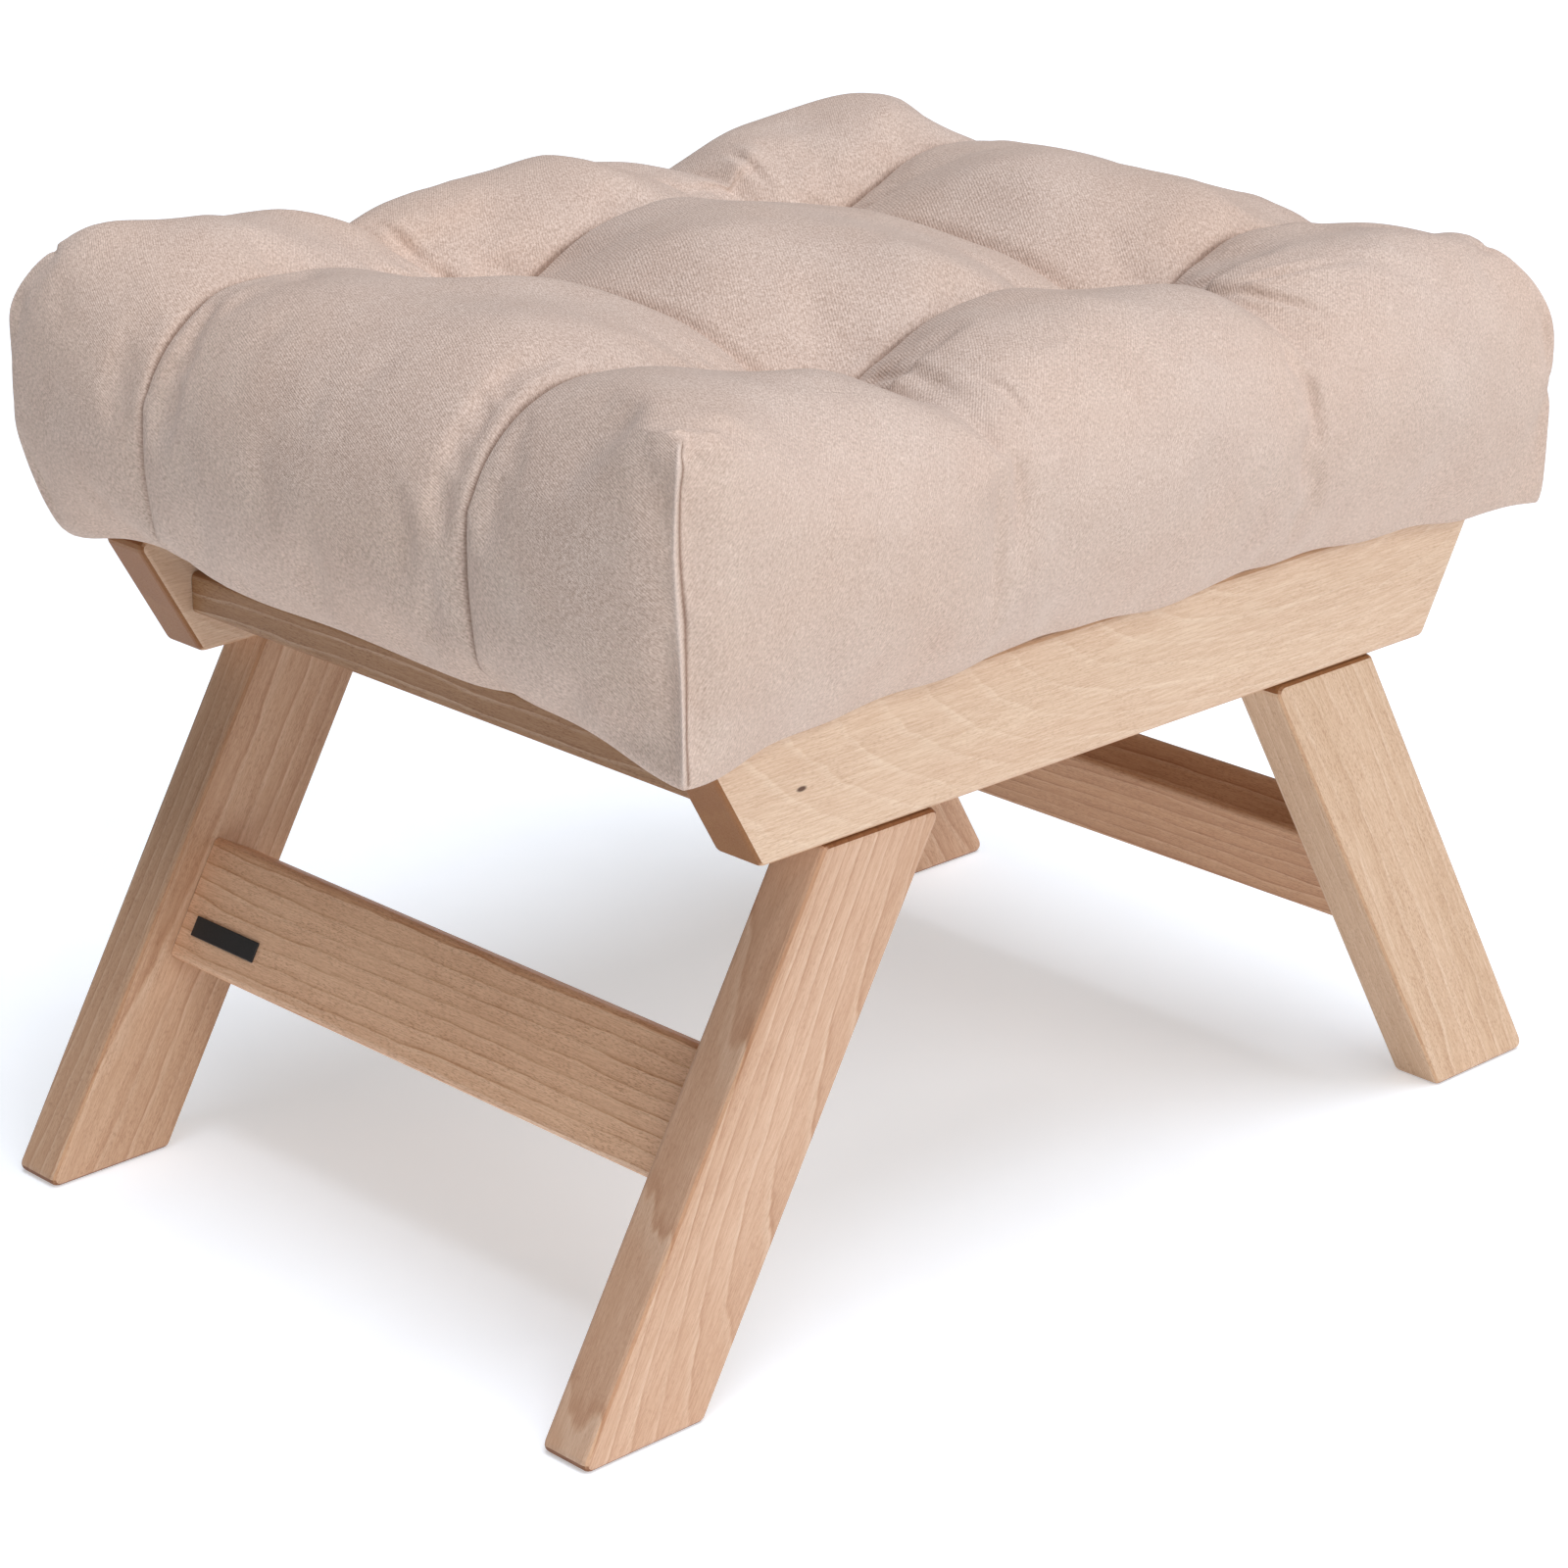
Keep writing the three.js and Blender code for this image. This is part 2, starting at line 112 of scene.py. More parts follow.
def add_lamps():
    for name, (way, strength, softness, tint) in LAMPS.items():
        data = bpy.data.lights.new(name, "SUN")
        data.energy = strength
        data.angle = math.radians(softness)
        data.color = tint
        lamp = bpy.data.objects.new(name, data)
        lamp.rotation_euler = (-Vector(way)).to_track_quat("-Z", "Y").to_euler()
        scene.collection.objects.link(lamp)


def add_floor():
    mesh = bpy.data.meshes.new("floor")
    shape = bmesh.new()
    bmesh.ops.create_grid(shape, x_segments=FLOOR_CELLS, y_segments=FLOOR_CELLS, size=FLOOR_HALF)
    shape.to_mesh(mesh)
    shape.free()
    floor = bpy.data.objects.new("floor", mesh)
    scene.collection.objects.link(floor)
    mesh.materials.append(floor_paper())


class Shading:
    """A material's nodes, joined by short calls."""

    def __init__(self, name):
        self.material = bpy.data.materials.new(name)
        self.material.use_nodes = True
        self.tree = self.material.node_tree
        self.shader = self.tree.nodes["Principled BSDF"]

    def add(self, kind, settings=None, **sockets):
        node = self.tree.nodes.new(kind)
        for key, value in (settings or {}).items():
            setattr(node, key, value)
        for key, value in sockets.items():
            self.feed(node.inputs[key.replace("_", " ")], value)
        return node

    def feed(self, socket, value):
        if isinstance(value, bpy.types.NodeSocket):
            self.tree.links.new(value, socket)
        else:
            socket.default_value = value

    def surface(self, **sockets):
        """Feeds the sockets of the material's own shader."""
        for key, value in sockets.items():
            self.feed(self.shader.inputs[key.replace("_", " ")], value)

    def math(self, operation, first, second=0.0, clamp=False):
        node = self.tree.nodes.new("ShaderNodeMath")
        node.operation = operation
        node.use_clamp = clamp
        self.feed(node.inputs[0], first)
        self.feed(node.inputs[1], second)
        return node.outputs[0]

    def plus(self, first, second):
        return self.math("ADD", first, second)

    def minus(self, first, second):
        return self.math("SUBTRACT", first, second)

    def times(self, first, second):
        return self.math("MULTIPLY", first, second)

    def mix(self, share, first, second, blend="MIX"):
        node = self.tree.nodes.new("ShaderNodeMix")
        node.data_type = "RGBA"
        node.blend_type = blend
        self.feed(node.inputs[0], share)
        self.feed(node.inputs[6], first)
        self.feed(node.inputs[7], second)
        return node.outputs[2]

    def tinted(self, share, colour, tint):
        return self.mix(share, colour, tint, "MULTIPLY")

    def ramp(self, value, *stops):
        """Levels or colours between the stops, each a place and what it has there."""
        node = self.tree.nodes.new("ShaderNodeValToRGB")
        points = node.color_ramp.elements
        while len(points) < len(stops):
            points.new(0.5)
        for point, (place, level) in zip(points, stops):
            point.position = place
            point.color = (*level, 1) if isinstance(level, tuple) else (level, level, level, 1)
        self.feed(node.inputs[0], value)
        return node.outputs[0]

    def noise(self, vector, scale, detail=2.0, roughness=0.5, distortion=0.0):
        node = self.add("ShaderNodeTexNoise", Vector=vector, Scale=scale, Detail=detail,
                        Roughness=roughness, Distortion=distortion)
        return node.outputs["Fac"]

    def bands(self, vector, direction, scale, distortion, detail=2.0):
        node = self.add("ShaderNodeTexWave", {"bands_direction": direction}, Vector=vector,
                        Scale=scale, Distortion=distortion, Detail=detail)
        return node.outputs["Fac"]

    def place(self):
        """Each point's place on its own object."""
        return self.add("ShaderNodeTexCoord").outputs["Object"]

    def placed(self, source, location=(0, 0, 0), rotation=(0, 0, 0), scale=(1, 1, 1)):
        node = self.add("ShaderNodeMapping", {"vector_type": "TEXTURE"}, Vector=source,
                        Location=location, Rotation=rotation, Scale=scale)
        return node.outputs[0]

    def relief(self, height, depth, strength=1.0):
        node = self.add("ShaderNodeBump", Height=height, Distance=depth, Strength=strength)
        self.tree.links.new(node.outputs[0], self.shader.inputs["Normal"])


def rgb(red, green, blue):
    """A colour of the screen, 0 to 255, as the linear one that a shader takes."""
    def linear(value):
        share = value / 255
        return share / 12.92 if share <= 0.04045 else ((share + 0.055) / 1.055) ** 2.4
    return (linear(red), linear(green), linear(blue), 1.0)


def floor_paper():
    look = Shading("floor_paper")
    grain = look.noise(look.place(), 40.0, 3.0)
    dark, pale = FLOOR_TONES
    look.surface(Base_Color=look.ramp(grain, (0.3, dark), (0.7, pale)), Roughness=0.9,
                 Emission_Color=FLOOR_GLOW_TINT, Emission_Strength=FLOOR_GLOW)
    return look.material


# Beech. Each board is cut from a log of its own. Its rings are long shells round a middle of
# their own, given in the board's measures: along the grain, then across its two other sides.
END_GRAIN = rgb(176, 144, 108)
ARRIS = rgb(238, 218, 196)
RING_LINE = rgb(206, 178, 154)
FLECK = rgb(172, 130, 100)
PALE_LINE = rgb(242, 222, 198)
KNOT = rgb(96, 66, 48)
PALE_BEECH = rgb(227, 199, 171)
PINK_BEECH = rgb(218, 186, 158)
TAN_BEECH = rgb(190, 155, 130)

# Sizes of the grain's marks, along it and across its two other sides, in metres.
FIBRE_SIZE = (0.012, 0.0006, 0.0006)
DASH_SIZE = (0.0024, 0.00038, 0.00038)
KNOT_SIZE = (0.0034, 0.0016, 0.0014)
KNOT_PLACE = (0.2, -0.1912, 0.2691)
# How far the rings sway along the board, and by how much of a gap each wanders.
RING_SWAY = 0.012
RING_WANDER = 0.35
# The dark late wood and the pale line after it, over one gap of the rings.
LATE_WOOD = ((0.0, 0.0), (0.55, 0.1), (0.86, 0.4), (0.94, 1.0), (0.975, 0.9), (1.0, 0.0))
EARLY_LINE = ((0.0, 0.0), (0.03, 1.0), (0.10, 0.7), (0.24, 0.0))
FIBRE_SHARE = 0.42
ARRIS_SHARE = 0.6
GRAIN_DEPTH = 0.06 * MM


def ring_phase(look, board, patches, middle, squash, ring_gap):
    """How far each point lies from one ring of the log to the next, 0 to 1."""
    parts = look.add("ShaderNodeSeparateXYZ", Vector=board)
    sway = look.times(look.minus(patches(0.16, 0.05), 0.5), RING_SWAY)
    away = [look.minus(parts.outputs[axis], middle[axis]) for axis in range(3)]
    away[0] = look.times(away[0], squash)
    away[2] = look.plus(away[2], sway)
    squares = [look.times(value, value) for value in away]
    radius = look.math("SQRT", look.plus(look.plus(squares[0], squares[1]), squares[2]))
    wander = look.times(patches(0.03, 0.006, shift=3.0), RING_WANDER)
    return look.math("FRACT", look.plus(look.math("DIVIDE", radius, ring_gap), wander))


def facing_shares(look, turn):
    """How squarely each point faces along each of its board's three ways, 0 to 1."""
    facing = look.add("ShaderNodeNewGeometry").outputs["Normal"]
    shares = []
    for axis in ((1, 0, 0), (0, 1, 0), (0, 0, 1)):
        dot = look.add("ShaderNodeVectorMath", {"operation": "DOT_PRODUCT"})
        look.feed(dot.inputs[0], facing)
        dot.inputs[1].default_value = turn @ Vector(axis)
        shares.append(look.math("ABSOLUTE", dot.outputs["Value"]))
    return shares


def beech(name, centre, grain, middle, squash, ring_gap, pale, deep, line=0.5, fleck=0.5, seed=0.0,
          knot=None, pale_line=0.25):
    """A board's wood. The shares line, fleck and pale_line say how plainly each of them shows."""
    look = Shading(name)
    place = look.place()
    turn = Vector(grain).to_track_quat("X", "Z")
    board = look.placed(place, centre, turn.to_euler())

    def patches(length, width, detail=2.0, shift=0.0):
        start = (seed + shift, 0, 0)
        return look.noise(look.placed(board, start, scale=(length, width, width)), 1.0, detail)

    phase = ring_phase(look, board, patches, middle, squash, ring_gap)
    late = look.ramp(phase, *LATE_WOOD)
    early = look.ramp(phase, *EARLY_LINE)
    shown = look.ramp(patches(0.09, 0.012, shift=7.0), (0.3, 0.35), (0.65, 1.0))
    tone = look.ramp(patches(0.22, 0.02, 3.0, 11.0), (0.28, 0.0), (0.72, 1.0))
    fibre = look.noise(look.placed(board, scale=FIBRE_SIZE), 1.0, 2.0, 0.6)
    dash = look.noise(look.placed(board, (seed, 0, 0), scale=DASH_SIZE), 1.0, 1.0)
    dashes = look.times(look.ramp(dash, (0.52, 0.0), (0.64, 0.7)),
                        look.ramp(patches(0.03, 0.01, shift=5.0), (0.3, 0.35), (0.6, 1.0)))
    sides = facing_shares(look, turn)
    flattest = look.math("MAXIMUM", look.math("MAXIMUM", sides[0], sides[1]), sides[2])
    arris = look.ramp(flattest, (0.80, 1.0), (0.96, 0.0))
    sawn = look.ramp(sides[0], (0.35, 0.0), (0.6, 1.0))
    fibrous = look.ramp(fibre, (0.35, 0.0), (0.72, 1.0))
    colour = look.mix(tone, pale, deep)
    colour = look.tinted(look.times(look.times(late, shown), line), colour, RING_LINE)
    colour = look.mix(look.times(look.times(early, shown), pale_line), colour, PALE_LINE)
    colour = look.tinted(look.times(fibrous, FIBRE_SHARE), colour, RING_LINE)
    colour = look.tinted(look.times(dashes, fleck), colour, FLECK)
    colour = look.tinted(look.times(arris, ARRIS_SHARE), colour, ARRIS)
    colour = look.tinted(sawn, colour, END_GRAIN)
    if knot:
        from_knot = look.placed(place, knot, turn.to_euler(), KNOT_SIZE)
        spot = look.add("ShaderNodeVectorMath", {"operation": "LENGTH"}, Vector=from_knot)
        inside = look.ramp(spot.outputs["Value"], (0.55, 1.0), (1.0, 0.0))
        colour = look.mix(inside, colour, KNOT)
    look.surface(Base_Color=colour, Roughness=look.ramp(fibre, (0.2, 0.46), (0.8, 0.60)),
                 Specular_IOR_Level=0.35)
    look.relief(look.plus(fibre, look.times(dashes, -0.6)), GRAIN_DEPTH, 0.6)
    return look.material


def dress(node, material):
    mesh = nodes[node].data
    mesh.materials.clear()
    mesh.materials.append(material)


def dress_board(node, *wood, **shares):
    """Gives a board a beech of its own, laid out from the board's middle."""
    low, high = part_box(node)
    dress(node, beech(f"beech_{node}", (low + high) / 2, *wood, **shares))


LEG_LEAN = math.radians(30)
RAIL_GAP, SLAT_GAP, STRETCHER_GAP, LEG_GAP = 0.0085, 0.006, 0.0075, 0.0068
# The slats' deep tones are in part painted shade from the cushion over them.
SLAT_TONES_WITH_SHADE = (rgb(168, 130, 93), rgb(157, 117, 80))
SLAT_SEEDS = (3.1, 5.2, 7.7, 9.4)
# Each stretcher's pale and deep tone, and its seed.
STRETCHERS = {
    "stretcher_front": (rgb(253, 216, 183), rgb(241, 200, 166), 10.0),
    "stretcher_back": (rgb(221, 180, 145), rgb(203, 161, 127), 12.0),
}
# Each leg's pale and deep tone, the middle of its rings, how drawn out they are along the grain,
# and how plainly their lines and the flecks show.
LEGS = {
    "leg_front_right": (
        rgb(216, 180, 152), rgb(203, 164, 134), (-0.21, 0.004, -0.033), 0.15, 0.5, 0.3),
    "leg_back_right": (
        rgb(218, 187, 157), rgb(206, 173, 141), (-0.05, -0.06, -0.05), 0.11, 0.25, 0.5),
    "leg_front_left": (
        rgb(215, 179, 148), rgb(199, 161, 130), (-0.05, -0.03, 0.03), 0.11, 0.5, 0.5),
    "leg_back_left": (
        rgb(215, 176, 145), rgb(199, 158, 127), (-0.05, 0.03, 0.04), 0.11, 0.5, 0.5),
}


def dress_frame():
    for side, sign in (("left", -1), ("right", 1)):
        dress_board(
            f"side_rail_{side}", (0, 1, 0.0), (0.12, 0.004 * sign, 0.045), 0.33, RAIL_GAP,
            PALE_BEECH, PINK_BEECH, line=0.10, fleck=0.3, seed=1.3 + sign,
            knot=KNOT_PLACE if sign > 0 else None, pale_line=0.3)
    for number, seed in enumerate(SLAT_SEEDS, 1):
        dress_board(
            f"seat_slat_{number}", (1, 0.01, 0), (0.0, 0.09, 0.12), 0.02, SLAT_GAP, *SLAT_TONES_WITH_SHADE,
            line=0.35, fleck=0.6, seed=seed)
    for name, (pale, deep, seed) in STRETCHERS.items():
        dress_board(
            name, (1, 0.0, 0.01), (0.0, 0.02, 0.2), 0.05, STRETCHER_GAP, pale, deep,
            line=0.85, fleck=0.6, seed=seed)
    for name, (pale, deep, middle, squash, line, fleck) in LEGS.items():
        way = 1 if "back" in name else -1
        down_the_leg = (0, way * math.sin(LEG_LEAN), -math.cos(LEG_LEAN))
        dress_board(
            name, down_the_leg, middle, squash, LEG_GAP, pale, deep,
            line=line, fleck=fleck, seed=2.0 + 3 * way)


def dress_small_parts():
    dowel = beech("beech_dowel", (0, 0, 0.27), (1, 0, 0), (0.0, 0.02, 0.01), 0.05, 0.003,
                  PALE_BEECH, TAN_BEECH, line=0.4, fleck=0.4, seed=4.0)
    steel = zinc_steel()
    brass = insert_brass()
    thread = twisted_thread()
    fibre = loose_fibre()
    for name in nodes:
        if "dowel" in name:
            dress(name, dowel)
        elif "bolt" in name or "washer" in name:
            dress(name, steel)
        elif "insert" in name:
            dress(name, brass)
        elif "tie" in name:
            dress(name, thread)
        elif name == "cushion_filling":
            dress(name, fibre)


def zinc_steel():
    look = Shading("zinc_plated_steel")
    brushed = look.noise(look.placed(look.place(), scale=(0.02, 0.0006, 0.0006)), 1.0, 3.0)
    look.surface(
        Base_Color=look.ramp(brushed, (0.2, (0.60, 0.61, 0.60)), (0.8, (0.76, 0.77, 0.76))),
        Roughness=look.ramp(brushed, (0.2, 0.28), (0.8, 0.44)), Metallic=1.0)
    look.relief(brushed, 0.02 * MM, 0.4)
    return look.material


def insert_brass():
    look = Shading("insert_brass")
    place = look.place()
    dull = look.noise(place, 900.0, 2.0)
    look.surface(
        Base_Color=look.ramp(dull, (0.3, (0.62, 0.45, 0.20)), (0.7, (0.74, 0.56, 0.28))),
        Roughness=look.ramp(dull, (0.3, 0.3), (0.7, 0.45)), Metallic=1.0)
    look.relief(look.bands(place, "Z", 280.0, 0.4), 0.15 * MM, 0.6)
    return look.material


def twisted_thread():
    look = Shading("twisted_thread")
    twist = look.bands(look.place(), "DIAGONAL", 330.0, 0.6)
    look.surface(
        Base_Color=look.ramp(twist, (0.1, (0.42, 0.33, 0.27)), (0.8, (0.66, 0.55, 0.47))),
        Roughness=0.8, Sheen_Weight=0.3)
    look.relief(twist, 0.3 * MM, 0.8)
    return look.material


def loose_fibre():
    look = Shading("loose_fibre_filling")
    tangle = look.noise(look.place(), 260.0, 6.0, 0.7, 2.5)
    look.surface(
        Base_Color=look.ramp(tangle, (0.3, (0.68, 0.67, 0.64)), (0.7, (0.86, 0.85, 0.82))),
        Roughness=0.95, Sheen_Weight=0.4)
    look.relief(tangle, 1.2 * MM, 0.9)
    return look.material


# The cushion's cover: a brushed twill, with its ribs laid by the cover's own flat measures.
CLOTH_PALE = rgb(226, 205, 191)
CLOTH_DEEP = rgb(187, 165, 150)
WORN_TINT = rgb(232, 220, 214)
WARM_TINT = rgb(255, 243, 232)
RIB_TINT = rgb(198, 180, 168)
# Painted shade for the seams' grooves and the crease beside each corner welt, and a painted
# highlight for the welts.
SEAM_SHADE_TINT = rgb(158, 136, 122)
WELT_HIGHLIGHT_TONE = rgb(240, 224, 214)
SHEEN_TINT = rgb(250, 236, 226)
WEAVE_TURN = (0, 0, math.radians(58))
YARN_SIZE = (0.0008, 0.0018, 1)
# How plainly the weave's speckle shows everywhere, and how much more inward of the right edge:
# that extra is painted shade and light of the weave's relief, on the faces where the light grazes.
SPECKLE, SPECKLE_PAINTED_SHADE = 3.5, 1.7
SPECKLE_SHADE_EDGE = ((0.20, 1.0), (0.26, 0.0))


def brushed_twill():
    look = Shading("brushed_twill_sand")
    flat = look.add("ShaderNodeUVMap", {"uv_map": "flat_cloth"}).outputs[0]
    place = look.place()
    rib = look.bands(look.placed(flat, rotation=WEAVE_TURN), "X", 262.0, 1.6, 1.0)
    yarn = look.noise(look.placed(flat, rotation=WEAVE_TURN, scale=YARN_SIZE), 1.0, 2.0, 0.6)
    nap = look.noise(place, 820.0, 4.0, 0.7)
    blotch = look.ramp(look.noise(place, 42.0, 3.0, 0.6), (0.35, 0.0), (0.7, 1.0))
    cloud = look.ramp(look.noise(place, 9.0, 2.0, 0.5), (0.35, 0.0), (0.7, 1.0))
    mottle = look.plus(look.times(nap, 0.55), look.times(yarn, 0.45))
    across = look.add("ShaderNodeSeparateXYZ", Vector=flat).outputs[0]
    # The speckle grows inward of the right edge: painted shading of the weave's relief, where the
    # light grazes.
    gain = look.plus(look.times(look.ramp(across, *SPECKLE_SHADE_EDGE), SPECKLE_PAINTED_SHADE), SPECKLE)
    speckle = look.math("ADD", look.times(look.minus(mottle, 0.5), gain), 0.5, clamp=True)
    colour = look.mix(speckle, CLOTH_DEEP, CLOTH_PALE)
    colour = look.tinted(look.times(blotch, 0.22), colour, WORN_TINT)
    colour = look.tinted(look.times(cloud, 0.35), colour, WARM_TINT)
    colour = look.tinted(look.times(rib, 0.16), colour, RIB_TINT)
    # The attribute read here is painted shade in the seams' grooves and beside the corner welts,
    # and a painted highlight on the welts.
    painted_seam_light = look.add("ShaderNodeAttribute", {"attribute_name": "painted_seam_light"}).outputs["Fac"]
    groove_shade = look.math("MAXIMUM", painted_seam_light, 0.0)
    welt_highlight = look.math("MINIMUM", painted_seam_light, 0.0)
    # Painted shade in the seams' grooves and beside the corner welts.
    colour = look.tinted(look.times(groove_shade, 0.8), colour, SEAM_SHADE_TINT)
    # Painted highlight on the corner welts.
    colour = look.mix(look.times(welt_highlight, -0.3), colour, WELT_HIGHLIGHT_TONE)
    look.surface(Base_Color=colour, Roughness=0.92, Specular_IOR_Level=0.15, Sheen_Weight=0.22,
                 Sheen_Roughness=0.45, Sheen_Tint=SHEEN_TINT)
    height = look.plus(look.times(rib, 0.55), look.times(mottle, 0.9))
    look.relief(height, 0.26 * MM, 0.85)
    return look.material


# Cushion, in metres, lying on the rails. Its box is the cover's before the filling swells it.
RAIL_LOW, RAIL_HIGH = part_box("side_rail_right")
HALF_WIDTH = 222 * MM
HALF_LENGTH = 277 * MM
THICKNESS = 145.9 * MM
BASE = RAIL_HIGH.z + 0.3 * MM
SLAT_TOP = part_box("seat_slat_1")[1].z
TIE_LOW, TIE_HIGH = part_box("tuft_tie_back_right")
TUFT_X = (TIE_LOW.x + TIE_HIGH.x) / 2
TUFT_Y = (TIE_LOW.y + TIE_HIGH.y) / 2
# The cover stays this far above the wood under it.
WOOD_CLEARANCE = 0.4 * MM

# The cloth's squares, and the lines beside which it is cut finer once it has settled: the axis
# they cross, their places, how far to each side, and the number of cuts.
CLOTH_STEP = 6.6 * MM
FINER_CUTS = (
    (0, (-TUFT_X, TUFT_X), 34 * MM, 1),
    (1, (-TUFT_Y, TUFT_Y), 34 * MM, 1),
    (0, (-TUFT_X, TUFT_X), 2 * MM, 2),
    (0, (-HALF_WIDTH, HALF_WIDTH), 4 * MM, 4),
    (1, (-HALF_LENGTH, HALF_LENGTH), 4 * MM, 4),
)

# Roundness of the cover's edges and the set of its walls. A row of four has a value for each
# corner in turn: front left, front right, back left, back right.
CORNERS = ((-1, -1), (1, -1), (-1, 1), (1, 1))
FRONT_ROLL = 72 * MM
BACK_ROLL = 88 * MM
SIDE_ROLL = 70 * MM
CORNER_ROLL = (46 * MM, 15 * MM, 50 * MM, 74 * MM)
LOW_ROLL = 24 * MM
CORNER_LOW_ROLL = (8 * MM, 5 * MM, 12 * MM, 3 * MM)
ROLL_REACH = 62 * MM
CORNER_TURN = 8 * MM
FLAT_INSET_REACH = 30 * MM
WALL_INSET_REACH = 45 * MM
CORNER_SINK = (5 * MM, 5 * MM, 6 * MM, 8 * MM)
SINK_REACH = 60 * MM
END_TUCK = 12 * MM
SIDE_TUCK = 9 * MM
CORNER_TUCK = (16 * MM, 2 * MM, 12 * MM, 0.5 * MM)
TUCK_REACH = 70 * MM
TUCK_HEIGHT = 60 * MM
END_BULGE = 9 * MM
SIDE_BULGE = 3 * MM
BULGE_HEIGHT = 0.44
WALL_REACH = 40 * MM
CORNER_DRAW = (1.5 * MM, 0.0, 0.0, 3.0 * MM)
DRAW_REACH = 60 * MM
DOME = 1 * MM

# The sewn lines swing out, the left and the right one, and the front fold swings at its left end.
SWING = (9 * MM, -7 * MM)
SWING_REACH = 45 * MM
FOLD_SWING = 20 * MM
# Depths of the sewn lines and of the cross folds, in millimetres, along the flat cloth away from
# the middle.
SEAM_DEPTHS = (
    (0, 25), (30, 28), (50, 34), (73, 42), (90, 46), (100, 47), (110, 46), (127, 42), (145, 36),
    (182, 26), (222, 17), (277, 10), (297, 7.4), (317, 5.2), (337, 3.6), (357, 2.4), (380, 1.4),
    (423, 0.5),
)
FOLD_DEPTHS = (
    (0, 31), (40, 33), (70, 38), (90, 43), (107, 47), (124, 44), (150, 36), (180, 27), (200, 20),
    (222, 13), (267, 0),
)
# Depths of the hollow round each tuft, by the distance from its tie.
HOLLOW_DEPTHS = ((0, 50), (12, 48), (27, 43), (43, 35), (60, 26), (80, 15), (100, 6), (125, 0))
# The share of a valley that is a narrow crease, the valley's width and the crease's.
SEAM_VALLEY = (0.45, 34 * MM, 9 * MM)
FOLD_VALLEY = (0.30, 36 * MM, 9 * MM)
# Where the filling lies thicker or thinner: a place on the flat cloth, its reach and the rise,
# in millimetres.
UNEVEN = (
    (0, 0, 100, -6), (165, 0, 60, -3), (162, -190, 58, -9), (0, -195, 70, -4),
    (-155, -148, 36, -5), (-204, -256, 30, 7), (-172, 54, 36, -12), (-176, 165, 34, -6),
    (-172, 236, 34, -4), (-150, 262, 30, -9), (-70, 215, 44, -12), (10, 235, 60, -13),
    (85, 232, 36, -9), (104, 262, 26, -5), (148, 196, 46, -12), (155, 232, 34, -8),
    (178, 246, 24, -8), (-181, -133, 60, 10), (7, 63, 60, -11), (-20, -166, 60, -10),
    (151, 10, 42, -6.5), (106, 156, 42, 6.5), (188, -110, 28, -7), (-202, 77, 60, 3.5),
    (-77, -225, 28, -6), (-202, -53, 28, 4), (-105, -53, 28, 4.5), (37, 202, 60, -3),
    (-181, 271, 28, -4), (-10, -172, 28, 4.5), (-64, 3, 28, -4), (-188, -103, 28, -4),
    (-188, -188, 28, -2.5), (-205, 166, 42, 2), (-198, 100, 28, -3), (-144, 100, 28, 3),
    (106, -67, 28, 2.5), (171, -162, 28, 2.5), (37, -103, 60, -2),
)
# The walls take it up above a height, over a fade.
UNEVEN_ABOVE, UNEVEN_FADE = 50 * MM, 60 * MM
# Where the lower edge hangs higher or lower: a place, its reach and the rise, in millimetres.
HEM = (
    (-160, -262, 36, 6.5), (-118, -262, 36, 9.0), (211, -196, 42, -4.0),
    (208, -56, 15, 2.5), (213, 73, 15, 3.0), (102, -262, 13, 3.0),
)

# The underside sags between the rails: how deep, and where the sag starts and over how far it
# grows, from the rails and from the ends. The lower edge droops past them in waves: the share
# of each, its turns along X and Y in radians a metre, and its start.
SAG = 13 * MM
SAG_EDGE = (4 * MM, 45 * MM)
SAG_END = (26 * MM, 40 * MM)
TIE_REACH = 26 * MM
DROOP = 5.5 * MM
DROOP_HEIGHT = 40 * MM
DROOP_WAVES = ((0.35, 0, 41, 0.6), (0.25, 37, 0, -1.1), (0.2, 0, 93, 0))

# The swell: how firmly the cloth's edges and tufts are held, its length in frames, and how far
# it may move the cloth.
CORNER_HELD = (0.6, 0.9, 0.6, 0.4)
CORNER_HELD_REACH = 10 * MM
SEAM_HELD = (1.0, 0.7, 0.2)
TUFT_HELD = 5 * MM
SWELL_FRAMES = 18
SWELL_CAP = 7 * MM
CLOTH_SETTINGS = {
    "quality": 6,
    "mass": 0.15,
    "tension_stiffness": 12,
    "compression_stiffness": 12,
    "shear_stiffness": 5,
    "bending_stiffness": 0.6,
    "air_damping": 1.5,
    "shrink_min": -0.02,
    "vertex_group_mass": "held",
    "use_pressure": True,
    "uniform_pressure_force": 4.0,
}


def smooth(value):
    share = np.clip(value, 0, 1)
    return share * share * (3 - 2 * share)


def bell(distance, width):
    return np.exp(-((distance / width) ** 2))


def around(x, y, spot_x, spot_y, reach):
    """1 at the spot, falling off with each point's distance from it."""
    return bell(np.hypot(x - spot_x, y - spot_y), reach)


def from_tufts(x, y):
    """Each point's distance from each of the four tufts."""
    return [np.hypot(x - side * TUFT_X, y - way * TUFT_Y) for side, way in CORNERS]


def even_lines(*knots):
    """Places of the grid's lines, a cloth step apart, with one on every knot."""
    places = [knots[0]]
    for start, end in zip(knots, knots[1:]):
        count = max(1, round((end - start) / CLOTH_STEP))
        places += list(np.linspace(start, end, count + 1)[1:])
    return np.array(places)


